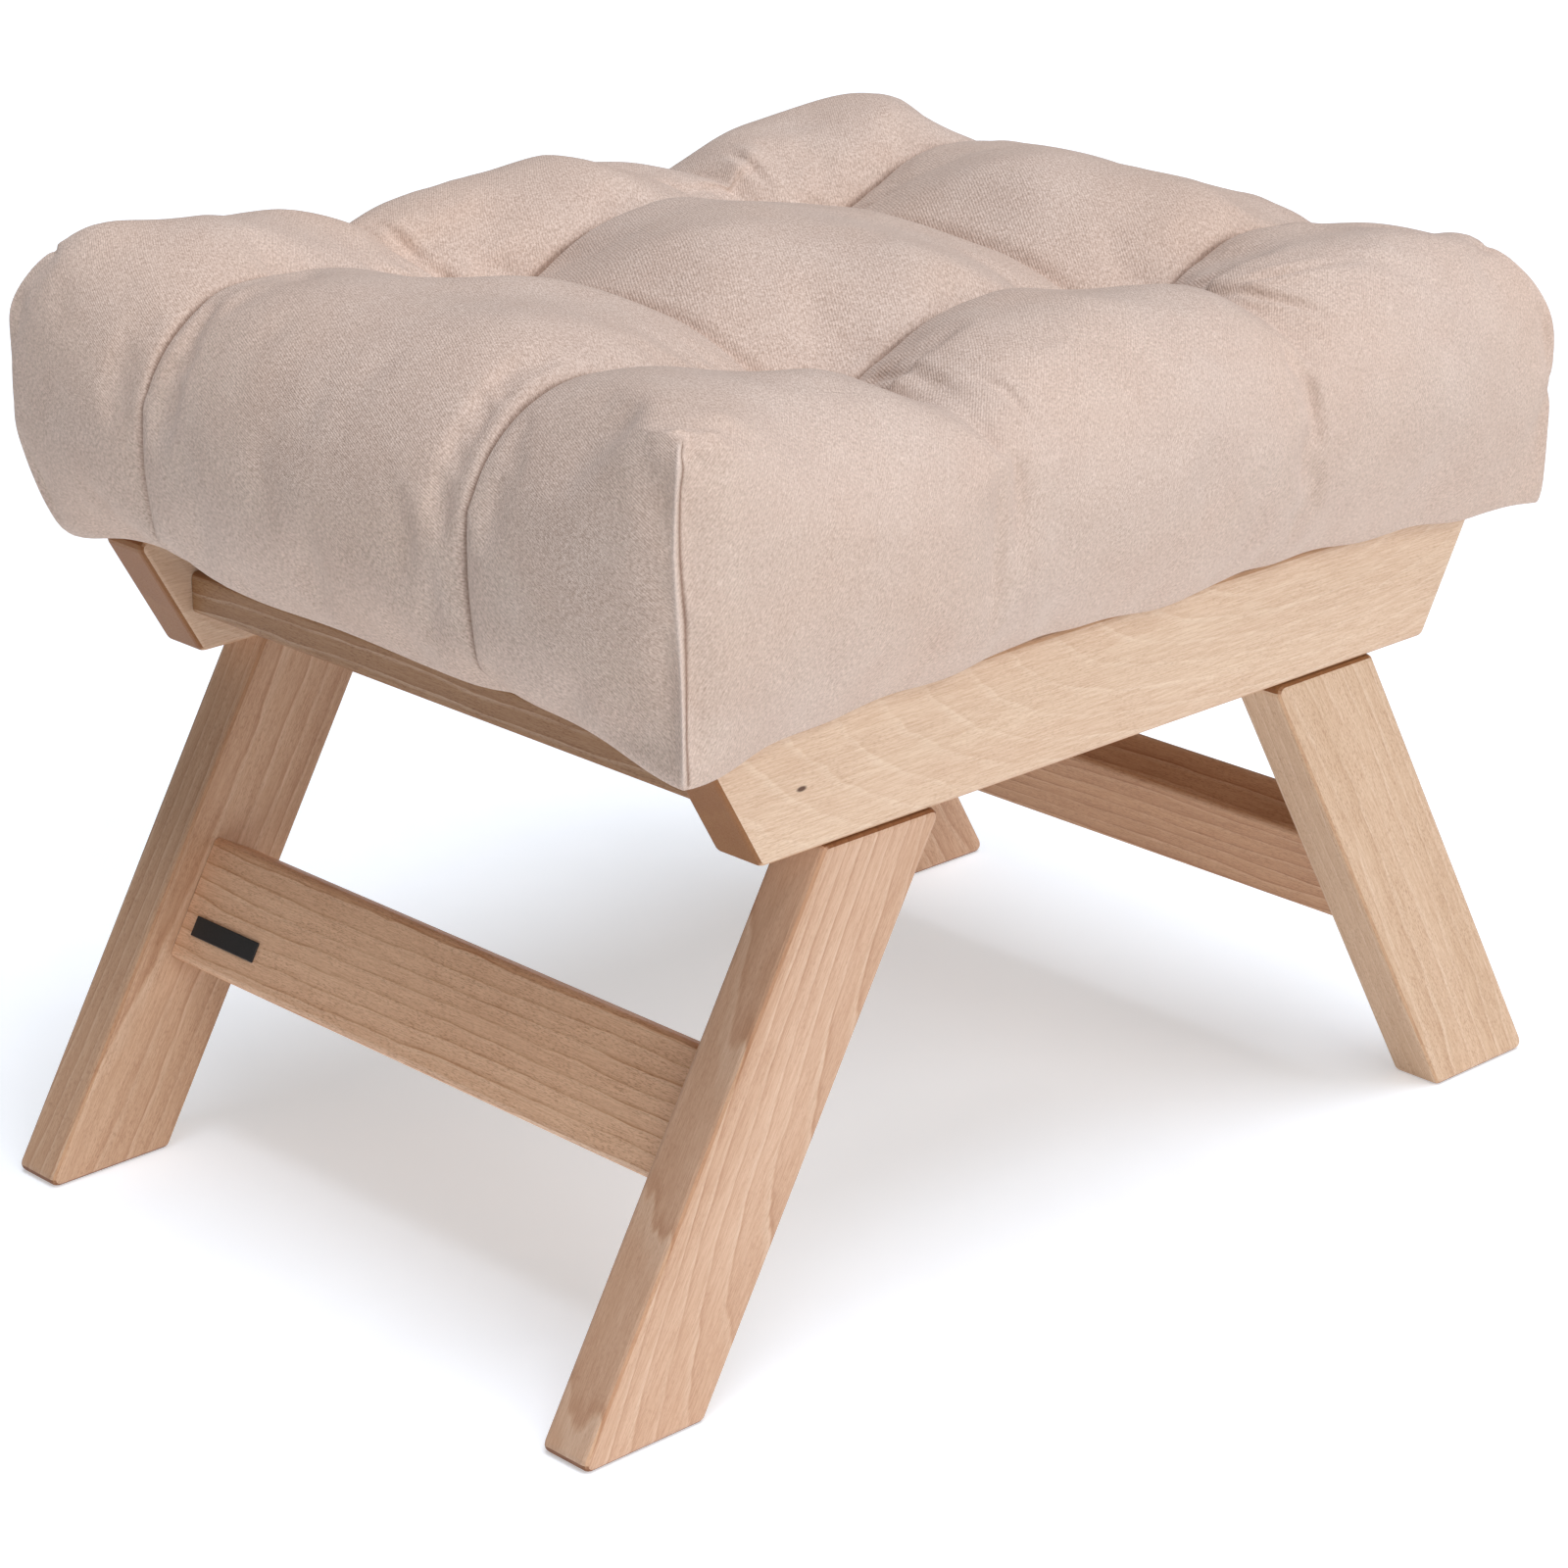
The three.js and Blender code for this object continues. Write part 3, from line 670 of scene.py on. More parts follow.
def boxed_grid(lines):
    """A closed box whose faces are cut along the given lines, one list for each axis."""
    shape = bmesh.new()
    bmesh.ops.create_cube(shape, size=2)
    for axis, places in enumerate(lines):
        edges = [
            edge for edge in shape.edges
            if abs(edge.verts[0].co[axis] - edge.verts[1].co[axis]) > 1.9
        ]
        cuts = len(places) - 2
        bmesh.ops.subdivide_edges(shape, edges=edges, cuts=cuts, use_grid_fill=True)
    for axis, places in enumerate(lines):
        even = np.linspace(-1, 1, len(places))
        for vert in shape.verts:
            vert.co[axis] = float(np.interp(vert.co[axis], even, places))
    return shape


def positions(mesh):
    flat = np.empty(len(mesh.vertices) * 3, np.float64)
    mesh.vertices.foreach_get("co", flat)
    return flat.reshape(-1, 3)


def place_points(mesh, points):
    mesh.vertices.foreach_set("co", np.asarray(points, np.float32).ravel())
    mesh.update()


def by_corner(x, y, middle, values, reach):
    """A measure that is middle along the edges and takes each corner's own value near it."""
    result = np.array(middle, float) + 0 * x
    for (side, way), value in zip(CORNERS, values):
        near = around(x, y, side * HALF_WIDTH, way * HALF_LENGTH, reach)
        result = result + (value - result) * near
    return result


def on_walls(x, y):
    """Which points of the flat box lie on a side wall, and which on an end wall."""
    return (
        np.abs(np.abs(x) - HALF_WIDTH) < TOUCH,
        np.abs(np.abs(y) - HALF_LENGTH) < TOUCH,
    )


def unrolled(flat):
    """Each point of the box laid flat, the walls hanging out from the top's edges."""
    x, y, z = flat.T
    drop = THICKNESS - z
    on_side, on_end = on_walls(x, y)
    return (
        np.where(on_side, x + np.sign(x) * drop, x),
        np.where(on_end, y + np.sign(y) * drop, y),
    )


def seam_swing(side, along):
    """How far the sewn line of one side runs outward of its tufts, along the cloth."""
    swing = SWING[0 if side < 0 else 1]
    return side * swing * smooth((np.abs(along) - TUFT_Y) / (HALF_LENGTH - TUFT_Y))


def depth_along(table, distance):
    places, depths = zip(*table)
    return np.interp(np.abs(distance), np.array(places) * MM, np.array(depths) * MM)


def valley_shape(away, sharp, width, sharp_width):
    """1 on the line, falling off as a narrow crease in a broad hollow."""
    return sharp * np.exp(-np.abs(away) / sharp_width) + (1 - sharp) * bell(away, width)


def valleys(across, along):
    """How far the cover is drawn in by its sewn lines, its cross folds and its tufts."""
    powers = 0 * across
    seam = depth_along(SEAM_DEPTHS, along)
    for side in (-1, 1):
        shape = valley_shape(across - side * TUFT_X, *SEAM_VALLEY)
        powers = powers + (seam * shape) ** 4
    fold = depth_along(FOLD_DEPTHS, across)
    for way in (-1, 1):
        swing = 0
        if way < 0:
            swing = FOLD_SWING * smooth((-across - TUFT_X) / (HALF_WIDTH - TUFT_X))
        shape = valley_shape(along - way * TUFT_Y + swing, *FOLD_VALLEY)
        powers = powers + (fold * shape) ** 4
    for distance in from_tufts(across, along):
        powers = powers + depth_along(HOLLOW_DEPTHS, distance) ** 4
    return powers ** 0.25


def unevenness(flat):
    """How far the filling lifts or lowers each point of the cover from its even form."""
    across, along = unrolled(flat)
    rise = 0 * across
    for x, y, reach, lift in UNEVEN:
        rise = rise + lift * MM * around(across, along, x * MM, y * MM, reach * MM)
    return rise * smooth((flat[:, 2] - UNEVEN_ABOVE) / UNEVEN_FADE)


def under_sag(x, y):
    """How far the underside hangs between the rails, drawn up again at the ties."""
    inside = smooth((RAIL_LOW.x - SAG_EDGE[0] - np.abs(x)) / SAG_EDGE[1])
    sag = SAG * inside * smooth((HALF_LENGTH - SAG_END[0] - np.abs(y)) / SAG_END[1])
    for distance in from_tufts(x, y):
        sag = sag * (1 - bell(distance, TIE_REACH))
    return sag


def overhang_droop(x, y):
    """How far the cover's lower edge hangs past the outer faces of the rails and their ends."""
    outside = np.maximum(smooth((np.abs(x) - RAIL_HIGH.x) / (9 * MM)),
                         smooth((np.abs(y) - RAIL_HIGH.y) / (16 * MM)))
    wave = 1
    for share, in_x, in_y, start in DROOP_WAVES:
        wave = wave + share * np.sin(x * in_x + y * in_y + start)
    droop = DROOP * outside * wave
    for spot_x, spot_y, reach, rise in HEM:
        droop = droop - rise * MM * around(x, y, spot_x * MM, spot_y * MM, reach * MM)
    return droop


def wall_rolls(x, y, to_x, to_y):
    """The roundness of the upper and lower edge near each point, and how far its wall faces X."""
    facing_x = 1 / (1 + np.exp(np.clip((to_x - to_y) / CORNER_TURN, -40, 40)))
    end_roll = np.where(y < 0, FRONT_ROLL, BACK_ROLL)
    roll = by_corner(x, y, end_roll + (SIDE_ROLL - end_roll) * facing_x, CORNER_ROLL, ROLL_REACH)
    low_roll = by_corner(x, y, LOW_ROLL, CORNER_LOW_ROLL, ROLL_REACH)
    return roll, low_roll, facing_x


def inset_shares(on_flat, to_edge, to_other):
    """How much of the edge's inset each point takes toward the wall of one axis."""
    past = bell(to_edge - to_other, FLAT_INSET_REACH)
    return np.where(on_flat, np.where(to_edge <= to_other, 1.0, past),
                    np.where(to_edge < TOUCH, 1.0, bell(to_edge, WALL_INSET_REACH)))


def bulged_walls(flat, x, y, height):
    """The walls' bulge over their height, the drawn corners, and the tuck under the walls."""
    side_x, side_y = np.sign(flat[:, 0]), np.sign(flat[:, 1])
    level = np.clip(height / THICKNESS, 0, 1)
    rise = np.where(level < BULGE_HEIGHT, level / BULGE_HEIGHT / 2,
                    0.5 + (level - BULGE_HEIGHT) / (1 - BULGE_HEIGHT) / 2)
    belly = np.sin(math.pi * rise)
    near_end = bell(HALF_LENGTH - np.abs(flat[:, 1]), WALL_REACH)
    near_side = bell(HALF_WIDTH - np.abs(flat[:, 0]), WALL_REACH)
    from_side = np.clip(1 - (x / HALF_WIDTH) ** 2, 0, 1) ** 0.6
    y = y + side_y * END_BULGE * belly * from_side * near_end
    from_end = np.clip(1 - (y / HALF_LENGTH) ** 2, 0, 1) ** 0.6
    x = x + side_x * SIDE_BULGE * belly * from_end * near_side
    for (side, way), draw in zip(CORNERS, CORNER_DRAW):
        near = around(*flat.T[:2], side * HALF_WIDTH, way * HALF_LENGTH, DRAW_REACH)
        x = x - side * draw * near
        y = y - way * draw * near
    tuck = np.clip(1 - height / TUCK_HEIGHT, 0, 1) ** 2
    x = x - side_x * tuck * by_corner(x, y, SIDE_TUCK, CORNER_TUCK, TUCK_REACH) * near_side
    y = y - side_y * tuck * by_corner(x, y, END_TUCK, CORNER_TUCK, TUCK_REACH) * near_end
    return x, y


def cushion_form(flat):
    """The flat box of the cover brought to the cushion's own form, before the cloth swells."""
    x, y, z = flat.T
    side_x, side_y = np.sign(x), np.sign(y)
    to_x, to_y = HALF_WIDTH - np.abs(x), HALF_LENGTH - np.abs(y)
    on_top, on_base = z > THICKNESS - TOUCH, z < TOUCH
    on_flat = on_top | on_base
    walls = ~on_flat

    # Rounded upper and lower edges: how far round its edge each point lies.
    inward = np.minimum(to_x, to_y)
    roll, low_roll, facing_x = wall_rolls(x, y, to_x, to_y)
    depth = THICKNESS - z
    turn = np.where(on_top, 1 - np.clip(inward / roll, 0, 1), 1 + np.clip(depth / roll, 0, 1))
    turn = turn * math.pi / 4
    low_turn = np.where(on_base, 1 - np.clip(inward / low_roll, 0, 1),
                        1 + np.clip(z / low_roll, 0, 1))
    low_turn = low_turn * math.pi / 4
    upper_level = THICKNESS - roll * (1 - np.cos(turn))
    lower_level = low_roll * (1 - np.cos(low_turn))
    inset = 0 * x
    height = z.copy()
    for part, edge, radius, angle, level in (
        (on_top, inward, roll, turn, upper_level),
        (on_base, inward, low_roll, low_turn, lower_level),
        (walls, depth, roll, turn, upper_level),
        (walls, z, low_roll, low_turn, lower_level),
    ):
        bent = part & (edge < radius)
        passed = 0 if part is walls else inward
        inset = np.where(bent, radius * (1 - np.sin(angle)) - passed, inset)
        height = np.where(bent, level, height)
    x = x - side_x * inset * inset_shares(on_flat, to_x, to_y)
    y = y - side_y * inset * inset_shares(on_flat, to_y, to_x)
    x, y = bulged_walls(flat, x, y, height)

    # Dome and sunk corners, then the valleys, drawn in at right angles to the cover.
    upper = smooth((height / THICKNESS - 0.35) / 0.65)
    dome = (1 - (x / HALF_WIDTH) ** 2) * (1 - (y / HALF_LENGTH) ** 2) - 0.6
    height = height + upper * DOME * dome
    height = height - upper * by_corner(x, y, 0.0, CORNER_SINK, SINK_REACH)
    across, along = unrolled(flat)
    lean = np.where(on_base, 0, np.clip(turn, 0, math.pi / 2))
    lean = np.where(on_top & (inward >= roll), 0, lean)
    deep = np.where(on_base, 0, valleys(across, along))
    x = x - side_x * deep * np.sin(lean) * facing_x
    y = y - side_y * deep * np.sin(lean) * (1 - facing_x)
    height = height - deep * np.cos(lean)
    height = np.where(on_base, height - under_sag(x, y), height)
    height = height - overhang_droop(x, y) * np.clip(1 - height / DROOP_HEIGHT, 0, 1)

    # The sewn lines wander across the end walls.
    for side in (-1, 1):
        wander = seam_swing(side, along) * bell(across - side * TUFT_X, SWING_REACH)
        x = x + np.where(on_base, 0, wander)
    return np.stack([x, y, height + BASE], axis=1)


def held_share(flat):
    """How firmly the cloth is held while the rest swells: at the ties, seams and underside."""
    x, y, z = flat.T
    across, along = unrolled(flat)
    held = np.zeros(len(flat))
    seam_ends = (TUFT_Y, HALF_LENGTH, HALF_LENGTH + THICKNESS)
    firm = np.interp(np.abs(along), seam_ends, SEAM_HELD)
    on_seam = np.abs(np.abs(x) - TUFT_X) < TOUCH
    held = np.where(on_seam & (z > TOUCH), firm, held)
    at_tuft = np.min(from_tufts(across, along), axis=0) < TUFT_HELD
    held = np.where((z > THICKNESS - TOUCH) & at_tuft, 1.0, held)
    held = np.where(z < TOUCH, 1.0, held)
    on_side, on_end = on_walls(x, y)
    corner_held = by_corner(x, y, 0.0, CORNER_HELD, CORNER_HELD_REACH)
    return np.where(on_side & on_end & (z > TOUCH), corner_held, held)


def swell(piece, held):
    """Lets the cover swell like cloth over its filling, then takes the cloth away again."""
    start = positions(piece.data)
    group = piece.vertex_groups.new(name="held")
    for level in np.unique(np.round(held, 2)):
        if level > 0:
            picked = np.nonzero(np.abs(held - level) < 0.005)[0]
            group.add([int(i) for i in picked], float(level), "REPLACE")
    cloth = piece.modifiers.new("swell", "CLOTH")
    for key, value in CLOTH_SETTINGS.items():
        setattr(cloth.settings, key, value)
    cloth.settings.effector_weights.gravity = 0
    cloth.collision_settings.use_collision = False
    cloth.point_cache.frame_start = 1
    cloth.point_cache.frame_end = SWELL_FRAMES
    for number in range(1, SWELL_FRAMES + 1):
        scene.frame_set(number)
    drawn = piece.evaluated_get(bpy.context.evaluated_depsgraph_get())
    swollen = positions(drawn.to_mesh())
    drawn.to_mesh_clear()
    piece.modifiers.remove(cloth)
    piece.vertex_groups.clear()
    scene.frame_set(1)
    move = swollen - start
    length = np.linalg.norm(move, axis=1)
    share = np.minimum(1, SWELL_CAP / np.maximum(length, 1e-9))
    return start + move * share[:, None]


def rest_on_frame(points):
    """Keeps the cover clear of the rails and slats under it."""
    x, y, z = points.T
    inner_face = RAIL_LOW.x - 1 * MM
    over_rail = ((np.abs(x) > inner_face) & (np.abs(x) < RAIL_HIGH.x + 0.5 * MM)
                 & (np.abs(y) < RAIL_HIGH.y + 0.5 * MM))
    between = np.abs(x) <= inner_face
    lowest = np.where(over_rail, RAIL_HIGH.z + WOOD_CLEARANCE,
                      np.where(between, SLAT_TOP + WOOD_CLEARANCE, -1))
    return np.stack([x, y, np.maximum(z, lowest)], axis=1)


def add_flat_cloth(mesh, flat):
    """Lays the cover out flat for the weave: every wall hangs from the top's edge."""
    layer = mesh.uv_layers.new(name="flat_cloth")
    loops = np.empty(len(mesh.loops), np.int64)
    mesh.loops.foreach_get("vertex_index", loops)
    spread = np.empty((len(mesh.loops), 2))
    for face in mesh.polygons:
        chosen = slice(face.loop_start, face.loop_start + face.loop_total)
        corner = flat[loops[chosen]]
        middle = corner.mean(axis=0)
        drop = THICKNESS - corner[:, 2]
        on_side, on_end = on_walls(middle[0], middle[1])
        spread[chosen, 0] = corner[:, 0] + (np.sign(middle[0]) * drop if on_side else 0)
        spread[chosen, 1] = corner[:, 1] + (np.sign(middle[1]) * drop if on_end else 0)
    layer.data.foreach_set("uv", spread.astype(np.float32).ravel())


def edges_beside(mesh, axis, marks, reach):
    """The edges along an axis whose middles lie within reach of one of the marks."""
    points = positions(mesh)
    ends = np.empty(len(mesh.edges) * 2, np.int64)
    mesh.edges.foreach_get("vertices", ends)
    first, second = points[ends[0::2]], points[ends[1::2]]
    along = np.abs(first[:, axis] - second[:, axis]) > TOUCH
    middle = (first[:, axis] + second[:, axis]) / 2
    beside = np.min([np.abs(middle - mark) for mark in marks], axis=0) < reach
    return np.nonzero(along & beside)[0]


def cut_finer(mesh, chosen, cuts):
    """Cuts the chosen edges of a mesh, and the faces between them."""
    shape = bmesh.new()
    shape.from_mesh(mesh)
    shape.edges.ensure_lookup_table()
    edges = [shape.edges[i] for i in chosen]
    bmesh.ops.subdivide_edges(shape, edges=edges, cuts=cuts, use_grid_fill=True)
    shape.to_mesh(mesh)
    shape.free()


def softened(piece, kind):
    """The piece's mesh, subdivided once with the kind given."""
    soften = piece.modifiers.new("soften", "SUBSURF")
    soften.subdivision_type = kind
    soften.levels = soften.render_levels = 1
    graph = bpy.context.evaluated_depsgraph_get()
    mesh = bpy.data.meshes.new_from_object(
        piece.evaluated_get(graph), preserve_all_data_layers=True, depsgraph=graph)
    piece.modifiers.clear()
    old = piece.data
    piece.data = mesh
    bpy.data.meshes.remove(old)
    mesh.name = piece.name
    return mesh


# Stitched lines: the depth and width of the groove, and the height and width of the ridge
# beside it and how far off it runs.
GROOVE_DEPTH, GROOVE_WIDTH = 1.2 * MM, 1.0 * MM
RIDGE_HEIGHT, RIDGE_WIDTH, RIDGE_AWAY = 0.7 * MM, 2.2 * MM, 3.4 * MM
# Pleats round each tuft: their number and height, where they stand and how wide that ring is.
PLEATS = 7
PLEAT_HEIGHT = 1.5 * MM
PLEAT_RING = (15 * MM, 13 * MM)
# Creases and soft folds: places along each on the flat cloth, its half width and its depth, all
# in millimetres.
CREASES = (
    (((118, -98), (172, -88)), 7, 2.0), (((118, -106), (176, -118)), 9, 2.8),
    (((122, -100), (196, -101)), 10, 2.2), (((112, -88), (150, -62)), 6, 1.6),
    (((118, 98), (180, 92)), 8, 3.0), (((116, 108), (170, 124)), 8, 2.4),
    (((120, 100), (205, 104)), 9, 2.6), (((-112, -112), (-128, -160)), 8, 2.0),
    (((-98, -108), (-70, -150)), 8, 1.6), (((98, -110), (84, -150)), 8, 1.8),
    (((-98, 108), (-60, 140)), 8, 1.8), (((-116, 96), (-160, 84)), 8, 2.0),
    (((232, 30), (262, 55)), 12, 1.2), (((214, -262), (236, -225)), 12, 1.6),
    (((-40, 262), (-30, 305)), 11, 1.6), (((40, 258), (52, 300)), 12, 1.6),
    (((-232, -40), (-262, -60)), 12, 1.6), (((-230, 60), (-265, 80)), 12, 1.6),
    (((110, -86), (124, -77), (142, -81), (171, -87),
      (192, -90), (215, -93), (240, -94), (262, -93)), 6, 1.6),
    (((204, -88), (214, -80), (232, -77), (252, -77), (280, -82)), 4.5, 1.7),
    (((166, 103), (185, 107), (205, 110), (229, 120), (239, 123), (262, 130)), 4.5, 2.3),
    (((178, 104), (188, 116), (198, 129), (212, 162)), 5, 2.0),
    (((222, 160), (250, 176), (286, 190), (316, 192)), 12, 1.2),
    (((226, 112), (262, 114), (306, 120)), 12, 0.9),
    (((196, 148), (222, 176), (262, 214)), 11, 1.0),
    (((-190, 118), (-164, 116), (-144, 116), (-128, 110)), 5, 2.2),
    (((-192, -104), (-148, -100), (-122, -99)), 5, 2.0),
    (((6, -284), (2, -300), (-4, -322), (-16, -350)), 12, 0.8),
    (((-40, -262), (-46, -280), (-58, -306)), 12, 0.9),
    (((30, -262), (22, -284), (8, -312)), 12, 0.7),
    (((80, -312), (86, -340), (88, -368)), 12, 0.3),
    (((198, -268), (203, -282), (206, -300), (212, -326)), 12, 0.8),
    (((225, -274), (232, -271), (242, -262)), 8, 1.0),
)


def beside_line(across, along, places):
    """Each point's distance from a line through the places, and the share of it passed there."""
    runs = np.diff(places, axis=0)
    lengths = np.hypot(*runs.T)
    starts = np.cumsum(lengths) - lengths
    nearest, passed = np.full(across.shape, np.inf), 0 * across
    for (x, y), run, length, start in zip(places, runs, lengths, starts):
        share = ((across - x) * run[0] + (along - y) * run[1]) / length**2
        share = np.clip(share, 0, 1)
        away = np.hypot(across - x - share * run[0], along - y - share * run[1])
        passed = np.where(away < nearest, (start + share * length) / lengths.sum(), passed)
        nearest = np.minimum(nearest, away)
    return nearest, passed


def fine_shape(across, along):
    """The cover's small relief: stitched lines, pleats and creases, in metres outward."""
    rise = 0 * across
    seam_ends = (HALF_LENGTH + 20 * MM, HALF_LENGTH + THICKNESS)
    fade = np.interp(np.abs(along), seam_ends, (1.0, 0.25))
    ring, ring_width = PLEAT_RING
    for side in (-1, 1):
        away = side * across - TUFT_X
        ridge = RIDGE_HEIGHT * bell(side * away + RIDGE_AWAY, RIDGE_WIDTH)
        rise = rise + fade * (ridge - GROOVE_DEPTH * bell(away, GROOVE_WIDTH))
        for way in (-1, 1):
            dx, dy = across - side * TUFT_X, along - way * TUFT_Y
            spot = np.hypot(dx, dy)
            angle = np.arctan2(dy, dx * side)
            pleat = np.cos(PLEATS * angle + 1.3 * side + 2.1 * way) * (0.6 + 0.4 * np.cos(angle))
            rise = rise + PLEAT_HEIGHT * pleat * bell(spot - ring, ring_width)
    for places, width, depth in CREASES:
        away, passed = beside_line(across, along, np.array(places) * MM)
        ends = smooth(passed / 0.35) * smooth((1 - passed) / 0.6)
        lips = 0.55 * bell(away - width * MM, width * 0.6 * MM)
        rise = rise - depth * MM * ends * (bell(away, width * 0.55 * MM) - lips)
    return rise


# The corner darts in turn: how far each stands out, how plainly its painted shade and highlight
# show, and how far its line bows toward the front left, most at a share of the cushion's height.
WELT_HEIGHT = (0.3 * MM, 1.0 * MM, 0.3 * MM, 0.0)
WELT_SHADING_SHOWN = (0.5, 1.0, 0.4, 0.0)
WELT_BOW = (0.0, 2.7 * MM, 0.0, 0.0)
WELT_BOW_LEVEL = 0.66
WELT_CREASE_AWAY = 2.6 * MM


def corner_welt(flat, points):
    """The sewn corner darts: a thin ridge with a crease beside it, that bows as it runs down."""
    x, y, z = flat.T
    made = points.copy()
    level = smooth(z / (20 * MM)) * smooth((THICKNESS - z) / (18 * MM))
    wall = (z > TOUCH) & (z < THICKNESS - TOUCH)
    for (side, way), height, bow in zip(CORNERS, WELT_HEIGHT, WELT_BOW):
        to_side, to_end = np.abs(x - side * HALF_WIDTH), np.abs(y - way * HALF_LENGTH)
        on_side, on_end = to_side < TOUCH, to_end < TOUCH
        from_ridge = np.where(on_side, to_end, to_side)
        crease = 0.9 * height * bell(from_ridge - WELT_CREASE_AWAY, 1.0 * MM)
        lift = height * bell(from_ridge, 1.1 * MM) - np.where(on_side, crease, 0)
        lift = np.where(wall & (on_side | on_end), lift * level * 0.7, 0)
        near = around(x, y, side * HALF_WIDTH, way * HALF_LENGTH, 24 * MM)
        shift = 0.7 * bow * near * bell(z - WELT_BOW_LEVEL * THICKNESS, 40 * MM)
        made[:, 0] += side * lift - shift
        made[:, 1] += way * lift - shift
    return made


def seam_shade_and_highlight(flat):
    """Painted light of the seams: 1 for shade in the grooves and beside the corner welts, -1 for
    highlight on the welts, 0 elsewhere.
    """
    x, y, z = flat.T
    across, along = unrolled(flat)
    wall = (z > TOUCH) & (z < THICKNESS - TOUCH)
    on_side, on_end = on_walls(x, y)
    ridge = np.where(on_side, HALF_LENGTH - np.abs(y), HALF_WIDTH - np.abs(x))
    # Painted shade in the crease beside each corner welt and in the seams' grooves; a painted
    # highlight on the welts.
    crease = np.where(wall & on_side, bell(ridge - WELT_CREASE_AWAY, 0.8 * MM), 0)
    welt_highlight = np.where(wall & (on_side | on_end), bell(ridge, 1.2 * MM), 0)
    # Down the end walls the left seam's painted shade fades more than the right one's.
    lowest = np.where(across < 0, 0.15, 0.6)
    fade = 1 + (lowest - 1) * smooth((np.abs(along) - HALF_LENGTH) / THICKNESS)
    seam = np.where(z > TOUCH, fade * bell(np.abs(across) - TUFT_X, 0.9 * MM), 0)
    shown = by_corner(x, y, 0.0, WELT_SHADING_SHOWN, 40 * MM)
    return np.maximum(crease * shown, seam) - welt_highlight * shown


def cloth_pair():
    """The cushion's box and a flat pattern with the same vertices, to tell each one's place."""
    shape = boxed_grid((
        even_lines(-HALF_WIDTH, -TUFT_X, TUFT_X, HALF_WIDTH),
        even_lines(-HALF_LENGTH, -TUFT_Y, TUFT_Y, HALF_LENGTH),
        even_lines(0, THICKNESS),
    ))
    pair = []
    for name in ("cushion", "flat_pattern"):
        mesh = bpy.data.meshes.new(name)
        shape.to_mesh(mesh)
        pair.append(bpy.data.objects.new(name, mesh))
        scene.collection.objects.link(pair[-1])
    shape.free()
    return pair


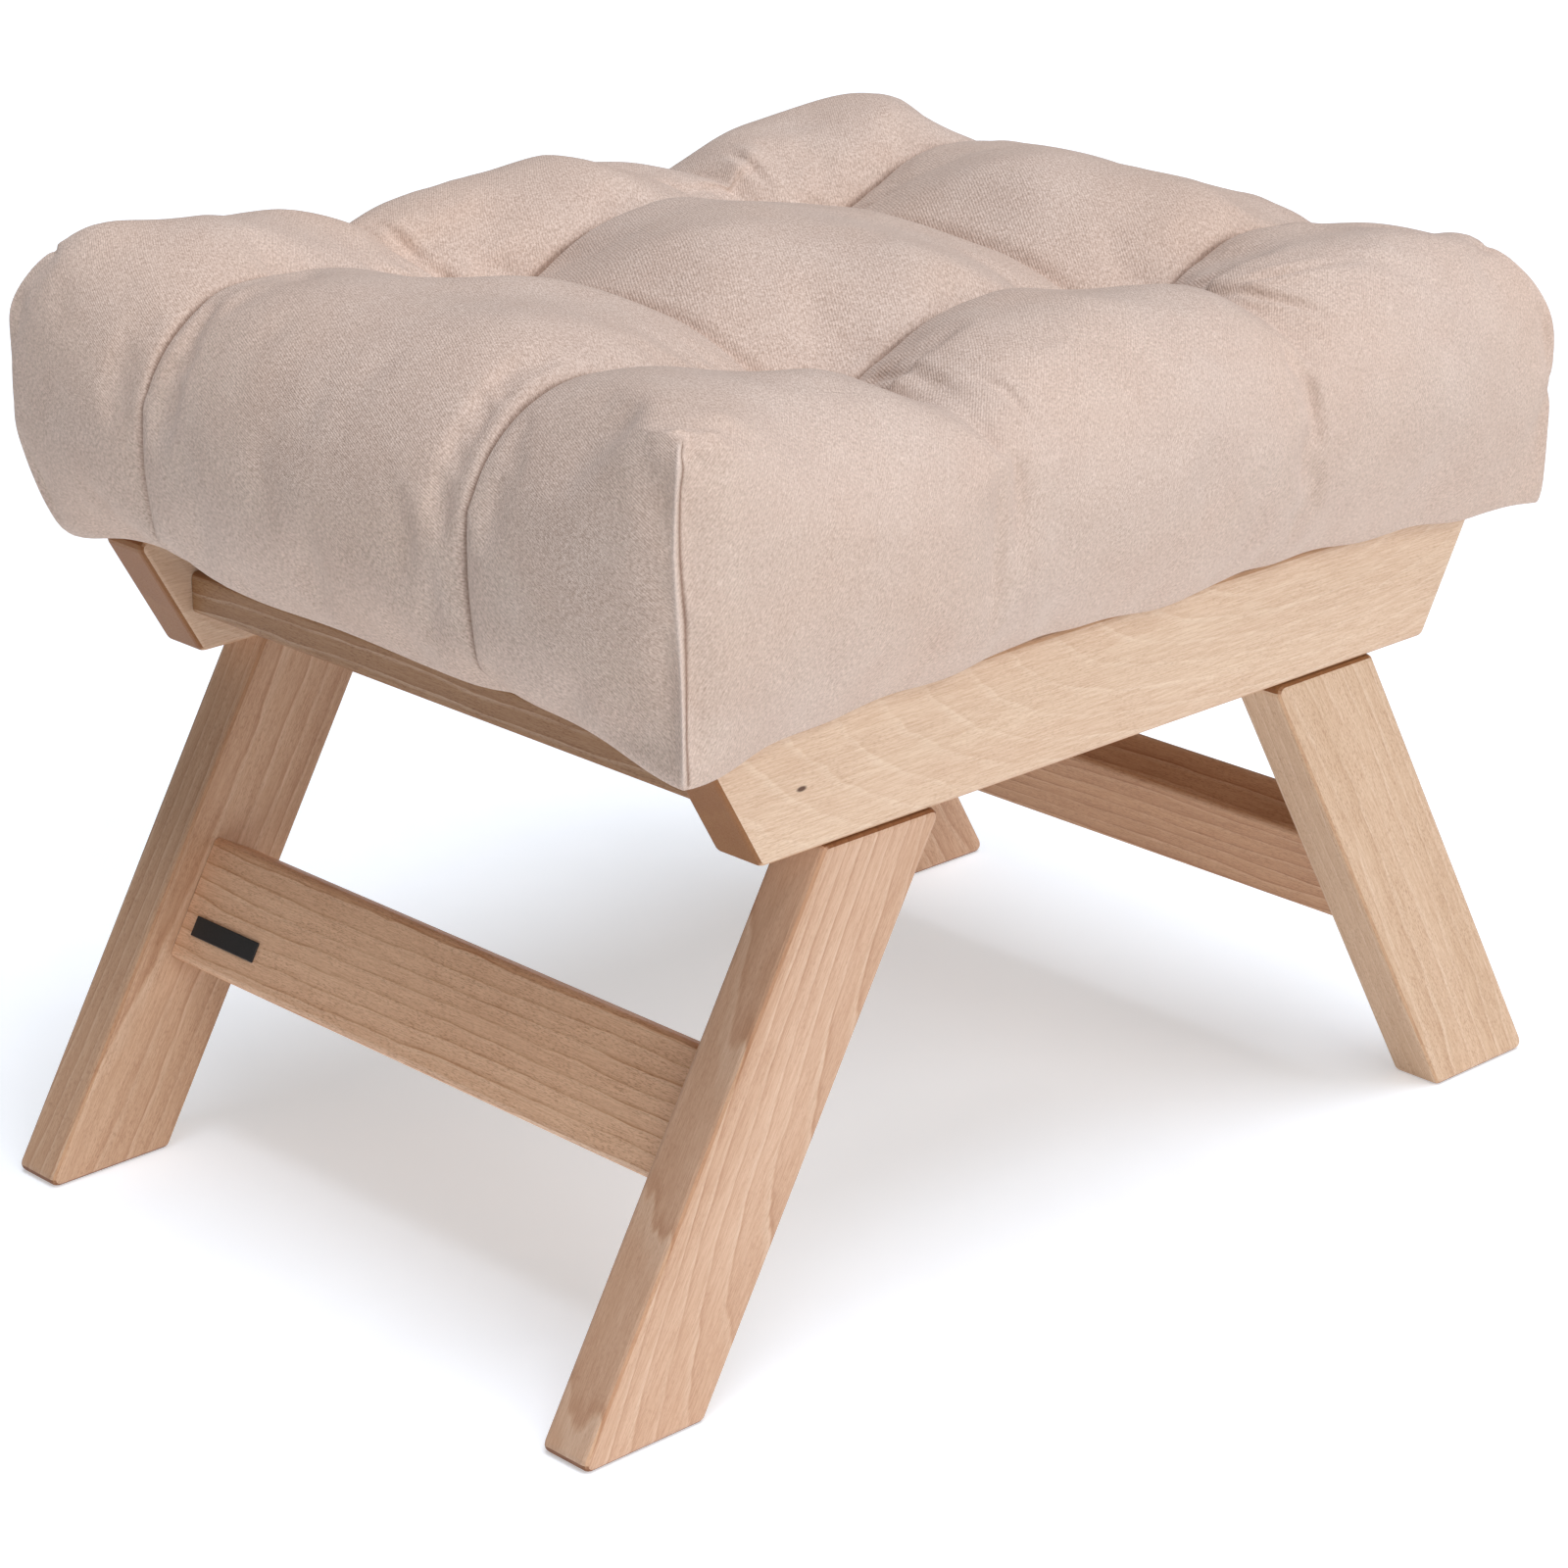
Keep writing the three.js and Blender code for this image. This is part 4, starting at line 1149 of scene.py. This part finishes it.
def make_cushion():
    piece, pattern = cloth_pair()
    flat = positions(pattern.data)
    add_flat_cloth(piece.data, flat)
    place_points(piece.data, cushion_form(flat))
    place_points(piece.data, swell(piece, held_share(flat)))
    points = positions(piece.data)
    points[:, 2] += unevenness(flat)
    place_points(piece.data, points)
    for axis, marks, reach, cuts in FINER_CUTS:
        chosen = edges_beside(pattern.data, axis, marks, reach)
        cut_finer(piece.data, chosen, cuts)
        cut_finer(pattern.data, chosen, cuts)
    mesh = softened(piece, "CATMULL_CLARK")
    flat = positions(softened(pattern, "SIMPLE"))
    bpy.data.objects.remove(pattern)
    normals = np.empty(len(mesh.vertices) * 3)
    mesh.vertex_normals.foreach_get("vector", normals)
    relief = np.where(flat[:, 2] > TOUCH, fine_shape(*unrolled(flat)), 0)
    points = positions(mesh) + normals.reshape(-1, 3) * relief[:, None]
    place_points(mesh, rest_on_frame(corner_welt(flat, points)))
    # Painted shade and highlight of the seams and welts, kept on the mesh for the cover's
    # material.
    painted_seam_light = mesh.attributes.new("painted_seam_light", "FLOAT", "POINT")
    painted_seam_light.data.foreach_set("value", seam_shade_and_highlight(flat).astype(np.float32))
    mesh.polygons.foreach_set("use_smooth", [True] * len(mesh.polygons))
    mesh.materials.append(brushed_twill())
    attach(piece, "cushion")
    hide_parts("cushion_cover", "cushion_filling")


# The small dark plate on the front stretcher, left blank: its size, and how far along, down and
# out of the stretcher's middle it lies.
PLATE_WIDTH, PLATE_HEIGHT, PLATE_THICKNESS = 46 * MM, 9.7 * MM, 1.0 * MM
PLATE_EASE = 0.35 * MM
PLATE_ALONG = -139.5 * MM
PLATE_DOWN = 12.1 * MM
STRETCHER_FACE = 14.0 * MM
GLUE = 0.05 * MM


def black_lacquer():
    look = Shading("black_plate_lacquer")
    speck = look.noise(look.place(), 1400.0, 3.0)
    look.surface(
        Base_Color=look.ramp(speck, (0.3, (0.016, 0.014, 0.013)), (0.7, (0.032, 0.029, 0.027))),
        Roughness=look.ramp(speck, (0.3, 0.42), (0.7, 0.56)))
    look.relief(speck, 0.03 * MM, 0.4)
    return look.material


def make_plate():
    shape = bmesh.new()
    bmesh.ops.create_cube(shape, size=1)
    size = (PLATE_WIDTH, PLATE_THICKNESS, PLATE_HEIGHT)
    bmesh.ops.scale(shape, vec=size, verts=shape.verts)
    bmesh.ops.bevel(shape, geom=list(shape.edges), offset=PLATE_EASE, segments=2,
                    affect="EDGES", profile=0.5, material=-1)
    low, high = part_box("stretcher_front")
    out = Vector((0, -math.cos(LEG_LEAN), math.sin(LEG_LEAN)))
    up = Vector((0, math.sin(LEG_LEAN), math.cos(LEG_LEAN)))
    spot = (low + high) / 2 + Vector((PLATE_ALONG, 0, 0)) - up * PLATE_DOWN
    spot = spot + out * (STRETCHER_FACE + PLATE_THICKNESS / 2 + GLUE)
    turn = Matrix.Rotation(-LEG_LEAN, 4, "X")
    bmesh.ops.transform(shape, matrix=Matrix.Translation(spot) @ turn, verts=shape.verts)
    mesh = bpy.data.meshes.new("blank_plate")
    shape.to_mesh(mesh)
    shape.free()
    mesh.materials.append(black_lacquer())
    plate = bpy.data.objects.new("blank_plate", mesh)
    scene.collection.objects.link(plate)
    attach(plate, "frame")


add_camera()
add_surround()
add_lamps()
add_floor()
dress_frame()
dress_small_parts()
make_cushion()
make_plate()
